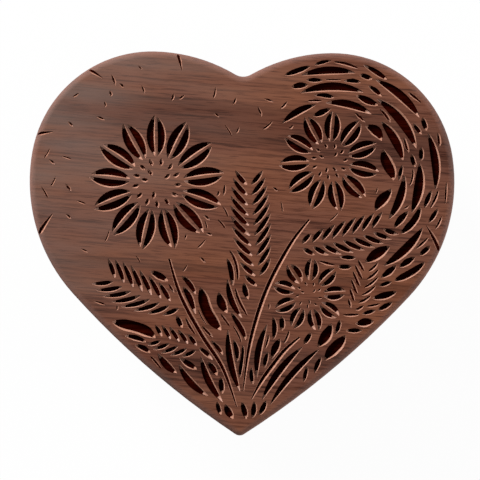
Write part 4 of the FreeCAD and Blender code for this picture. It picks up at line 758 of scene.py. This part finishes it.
def mark_metal(tree, gloss, place, mark, dull, bright, roughness, relief, tarnish, blotches):
    """Gives a bare metal tarnish, in clouds of that many millimetres, and the gloss and relief of a mark."""
    cloud_place = add_node(tree, "Mapping", {"Vector": place, "Scale": per_mm(tarnish, tarnish, tarnish)})
    cloud = add_node(tree, "TexNoise", {"Vector": cloud_place.outputs[0], "Scale": 1.0, "Detail": 4.0,
                                        "Roughness": blotches})
    shade = add_node(tree, "ValToRGB", {"Fac": cloud.outputs["Fac"]}, stops=[(0.32, dull), (0.62, bright)])
    spread = add_node(tree, "MapRange", {"Value": mark, "From Min": 0.3, "From Max": 0.7,
                                         "To Min": roughness - 0.08, "To Max": roughness + 0.1})
    bump = add_node(tree, "Bump", {"Height": mark, "Strength": relief, "Distance": MARK_DEPTH * MM})
    tree.links.new(shade.outputs["Color"], gloss.inputs["Base Color"])
    tree.links.new(spread.outputs[0], gloss.inputs["Roughness"])
    tree.links.new(bump.outputs["Normal"], gloss.inputs["Normal"])


print("tool marks", MARK_DEPTH, "mm deep")

# %% Metals with straight tool marks


def metal(name, dull, bright, marks, roughness, relief, tarnish=6.0):
    """A bare metal. marks is the size of one tool mark along X, Y and Z, in millimetres."""
    finish, tree, gloss = new_finish(name, Metallic=1.0)
    place = add_node(tree, "TexCoord").outputs["Object"]
    mark_place = add_node(tree, "Mapping", {"Vector": place, "Scale": per_mm(*marks)})
    mark = add_node(tree, "TexNoise", {"Vector": mark_place.outputs[0], "Scale": 1.0, "Detail": 3.0,
                                       "Roughness": 0.6})
    mark_metal(tree, gloss, place, mark.outputs["Fac"], dull, bright, roughness, relief, tarnish, 0.6)
    return finish


# brushed brass is warm, with fine lines along its length, and ground steel is cool, with lines across it
brass = metal("brushed_brass", "#a07c3c", "#d9b766", (3.0, 0.12, 0.12), 0.3, 0.3)
steel = metal("ground_steel", "#8f9296", "#c4c6c9", (0.10, 2.5, 0.10), 0.28, 0.3)
# spring steel is tempered to a dark blue, and cast zinc is grey, dull and grainy from the mould
blued_steel = metal("blued_spring_steel", "#2b3242", "#56617c", (0.3, 0.3, 0.1), 0.3, 0.2)
zinc = metal("die_cast_zinc", "#8b8c8f", "#adaeb1", (0.22, 0.22, 0.22), 0.5, 0.7)
# nickel plating is smooth, bright and a little yellow
plating = metal("nickel_plated_screw", "#b4b1a9", "#dcd9d2", (0.4, 0.4, 0.06), 0.2, 0.15, 2.0)
magnet = metal("nickel_plated_magnet", "#a9a8a6", "#d3d2d0", (0.25, 0.25, 0.25), 0.24, 0.25, 1.6)
print("straight marks", [finish.name for finish in (brass, steel, blued_steel, zinc, plating, magnet)])

# %% Metals with rings from the lathe
RING_WIDTH = 0.14       # mm between two rings from the lathe
ROUND_Z, ROUND_X = (1, 1, 0), (0, 1, 1)     # what is left of a place when it is measured from an axis


def middle_of(node):
    """The middle of a node's box, in millimetres."""
    low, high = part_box(node)
    return (low + high) / (2 * MM)


def turned(name, dull, bright, node, flat, axis, roughness):
    """A turned metal. flat keeps the two directions across the axis, so that the rings run round the node."""
    finish, tree, gloss = new_finish(name, Metallic=1.0)
    place = add_node(tree, "TexCoord").outputs["Object"]
    middle = add_node(tree, "Mapping", {"Vector": place, "Location": [-v * MM for v in middle_of(node)]})
    across = add_node(tree, "VectorMath", {0: middle.outputs[0], 1: flat}, operation="MULTIPLY")
    reach = add_node(tree, "VectorMath", {0: across.outputs[0]}, operation="LENGTH")
    split = add_node(tree, "SeparateXYZ", {"Vector": middle.outputs[0]})
    pair = add_node(tree, "CombineXYZ", {"X": reach.outputs["Value"], "Y": split.outputs[axis]})
    ring_place = add_node(tree, "Mapping", {"Vector": pair.outputs[0],
                                            "Scale": per_mm(RING_WIDTH, RING_WIDTH, 1)})
    ring = add_node(tree, "TexNoise", {"Vector": ring_place.outputs[0], "Scale": 1.0, "Detail": 2.0})
    mark_metal(tree, gloss, place, ring.outputs["Fac"], dull, bright, roughness, 0.3, 5, 0.5)
    return finish


# brass and steel off the lathe glint in narrow rings round their axis
brass_drum = turned("turned_brass_drum", "#a5803d", "#dcb968", "cylinder", ROUND_X, "X", 0.26)
brass_barrel = turned("turned_brass_barrel", "#a37d3c", "#d8b563", "spring_barrel", ROUND_Z, "Z", 0.28)
brass_pivot = turned("turned_brass_pivot", "#a8843f", "#dfbe70", "pivot_pin", ROUND_Z, "Z", 0.24)
steel_key = turned("turned_steel_key", "#8d9094", "#c9cbce", "winding_key", ROUND_Z, "Z", 0.24)
print("turned", [finish.name for finish in (brass_drum, brass_barrel, brass_pivot, steel_key)])

# %% [markdown]
# ## The acrylic cover
# A clear sheet of cast acrylic, laser cut, lies over the movement. It bends light a little less than glass
# and picks up fine scratches. Lamps shine through real acrylic, but a path tracer treats a refracting sheet
# as a shade, so for rays on their way to a lamp it is simply see-through.

# %% Clear acrylic
acrylic, tree, gloss = new_finish("clear_cast_acrylic", Base_Color=colour("#f6fbfb"), IOR=1.49,
                                  Transmission_Weight=1.0)
place = add_node(tree, "TexCoord").outputs["Object"]
scratch_place = add_node(tree, "Mapping", {"Vector": place, "Scale": per_mm(9, 0.25, 4),
                                           "Rotation": (0, 0, 0.5)})
scratch = add_node(tree, "TexNoise", {"Vector": scratch_place.outputs[0], "Scale": 1.0, "Detail": 3.0})
rough = add_node(tree, "MapRange", {"Value": scratch.outputs["Fac"], "From Min": 0.5, "From Max": 0.75,
                                    "To Min": 0.0, "To Max": 0.05})
tree.links.new(rough.outputs[0], gloss.inputs["Roughness"])
to_lamp = add_node(tree, "LightPath").outputs["Is Shadow Ray"]
clear = add_node(tree, "BsdfTransparent", {"Color": colour("#f0f6f6")})
pane = add_node(tree, "MixShader", {"Fac": to_lamp, 1: gloss.outputs[0], 2: clear.outputs[0]})
tree.links.new(pane.outputs[0], tree.nodes["Material Output"].inputs["Surface"])
print("cover", acrylic.name)

# %% [markdown]
# ## Dressing the pieces
# On a bench each piece comes out of a tray of its own material. Here too, one list says which pieces wear
# which finish. Only the finish is changed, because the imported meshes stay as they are.

# %% Put each finish on its pieces
FINISHES = (
    (walnut_base, ("base_shell",)),
    (brass_pivot, ("pivot_pin", "pivot_bush", "pivot_washer")),
    (brass_drum, ("cylinder", "cylinder_caps", "great_wheel")),
    (brass_barrel, ("spring_barrel", "barrel_cap")),
    (brass, ("barrel_bridge", "bridge_pillars", "layshaft_pinion", "worm_wheel", "brake_disc", "stop_knob",
             "stop_lever_post", "governor_fan")),
    (steel, ("comb", "winding_arbor", "ratchet_wheel", "cylinder_arbor", "crown_pinion", "layshaft",
             "governor_worm", "stop_lever", "stop_dowel")),
    (steel_key, ("winding_key",)),
    (blued_steel, ("mainspring", "click_spring")),
    (zinc, ("bedplate", "bearing_bracket", "governor_frame")),
    (plating, ("cover_screws", "movement_screws", "comb_screws", "click_screw", "bridge_screws",
               "bracket_screws", "governor_screws", "stop_lever_screw")),
    (magnet, ("base_magnet", "lid_magnet")),
    (acrylic, ("movement_cover",)),
)
dressed = {"lid"}
for finish, names in FINISHES:
    for name in names:
        nodes[name].data.materials.clear()
        nodes[name].data.materials.append(finish)
        dressed.add(name)
print("nodes without a finish", sorted(set(nodes) - dressed))

# %% [markdown]
# ## Floor and light
# The photograph is a product shot on white: a soft key lamp at the upper left, low enough to light the far
# slope of each cut and to leave the near one dark, a weak and broad fill lamp at the right for the sides,
# and a weak even light from all round. The floor shows white to the camera, in reflections and through the
# acrylic, but it still takes a faint shadow. It lies a hair below the box, so that the two faces don't
# fight for one place.

# %% The floor and the world
FLOOR_SIDE = 3.0        # m
SHADOW_SHARE = 0.035    # how much of the floor's white is real light, which the shadow can take away
SKY = 0.2               # strength of the even light from all round
FLOOR_GAP = 0.1         # mm between the box and the floor


def shown(tree):
    """1 for rays that look at the background, straight, in a reflection or through acrylic, or else 0."""
    ray = add_node(tree, "LightPath")
    seen = ray.outputs["Is Camera Ray"]
    for kind in ("Is Glossy Ray", "Is Transmission Ray"):
        seen = add_node(tree, "Math", {0: seen, 1: ray.outputs[kind]}, operation="MAXIMUM").outputs[0]
    return seen


bpy.ops.object.select_all(action="DESELECT")
bpy.ops.mesh.primitive_plane_add(size=FLOOR_SIDE, location=(0, 0, solids_low.z - FLOOR_GAP * MM))
floor = bpy.context.object
floor.name = "studio_floor"
white, tree, gloss = new_finish("white_paper_floor", Base_Color=colour("#f4f4f4"), Roughness=0.9)
share = add_node(tree, "Math", {0: shown(tree), 1: 1 - SHADOW_SHARE}, operation="MULTIPLY")
glow = add_node(tree, "Emission", {"Color": colour("#ffffff"), "Strength": 1.0})
mixed = add_node(tree, "MixShader", {"Fac": share.outputs[0], 1: gloss.outputs[0], 2: glow.outputs[0]})
tree.links.new(mixed.outputs[0], tree.nodes["Material Output"].inputs["Surface"])
floor.data.materials.append(white)

world = bpy.data.worlds.new("white_studio")
bpy.context.scene.world = world
world.use_nodes = True
tree = world.node_tree
level = add_node(tree, "MapRange", {"Value": shown(tree), "To Min": SKY, "To Max": 1.0})
tree.links.new(level.outputs[0], tree.nodes["Background"].inputs["Strength"])
tree.nodes["Background"].inputs["Color"].default_value = colour("#ffffff")
print("floor at", round(solids_low.z / MM - FLOOR_GAP, 2), "mm")

# %% The key lamp at the upper left and the fill lamp at the right
LAMPS = (
    # name, reach in m from the lid, degrees above the lid, degrees from +X, watts, side in m
    ("key_lamp", 0.8, 33.0, 130.0, 7.7, 0.27),
    ("fill_lamp", 0.6, 12.0, -8.0, 2.0, 0.3),
)

aim = Vector((0.0, 0.0, lid_top))
for name, reach, height, side, watts, size in LAMPS:
    rise, turn = math.radians(height), math.radians(side)
    away = Vector((math.cos(rise) * math.cos(turn), math.cos(rise) * math.sin(turn), math.sin(rise)))
    lamp = bpy.data.lights.new(name, "AREA")
    lamp.energy, lamp.size = watts, size
    lamp_object = bpy.data.objects.new(name, lamp)
    bpy.context.scene.collection.objects.link(lamp_object)
    lamp_object.location = aim + away * reach
    lamp_object.rotation_euler = (-away).to_track_quat("-Z", "Y").to_euler()
    print(name, "at", [round(v, 3) for v in lamp_object.location])

# %% [markdown]
# ## Camera
# The photograph looks straight down on the lid, and no side shows, so the lens is long and far away. Its
# place follows from the width of the lid's top that the image shows. The box lies a little turned and off
# the middle.

# %% The camera straight above
FRAME_WIDTH = 123.8     # mm of the lid's top that the image shows
LENS = 120.0            # mm, a long lens, so that the sides stay hidden under the top
SENSOR = 36.0           # mm
ROLL = 0.55             # degrees that the box lies turned in the photograph
OFFSET = (-0.39, 1.0)   # mm from the box's middle to the image's middle

camera = bpy.data.objects.new("photo_camera", bpy.data.cameras.new("photo_camera"))
camera.data.lens, camera.data.sensor_width = LENS, SENSOR
camera.location = (OFFSET[0] * MM, OFFSET[1] * MM, lid_top + FRAME_WIDTH * MM * LENS / SENSOR)
camera.rotation_euler = (0.0, 0.0, math.radians(ROLL))
bpy.context.scene.collection.objects.link(camera)
bpy.context.scene.camera = camera
bpy.context.scene.view_settings.view_transform = "Standard"
print("camera", [round(v, 4) for v in camera.location])
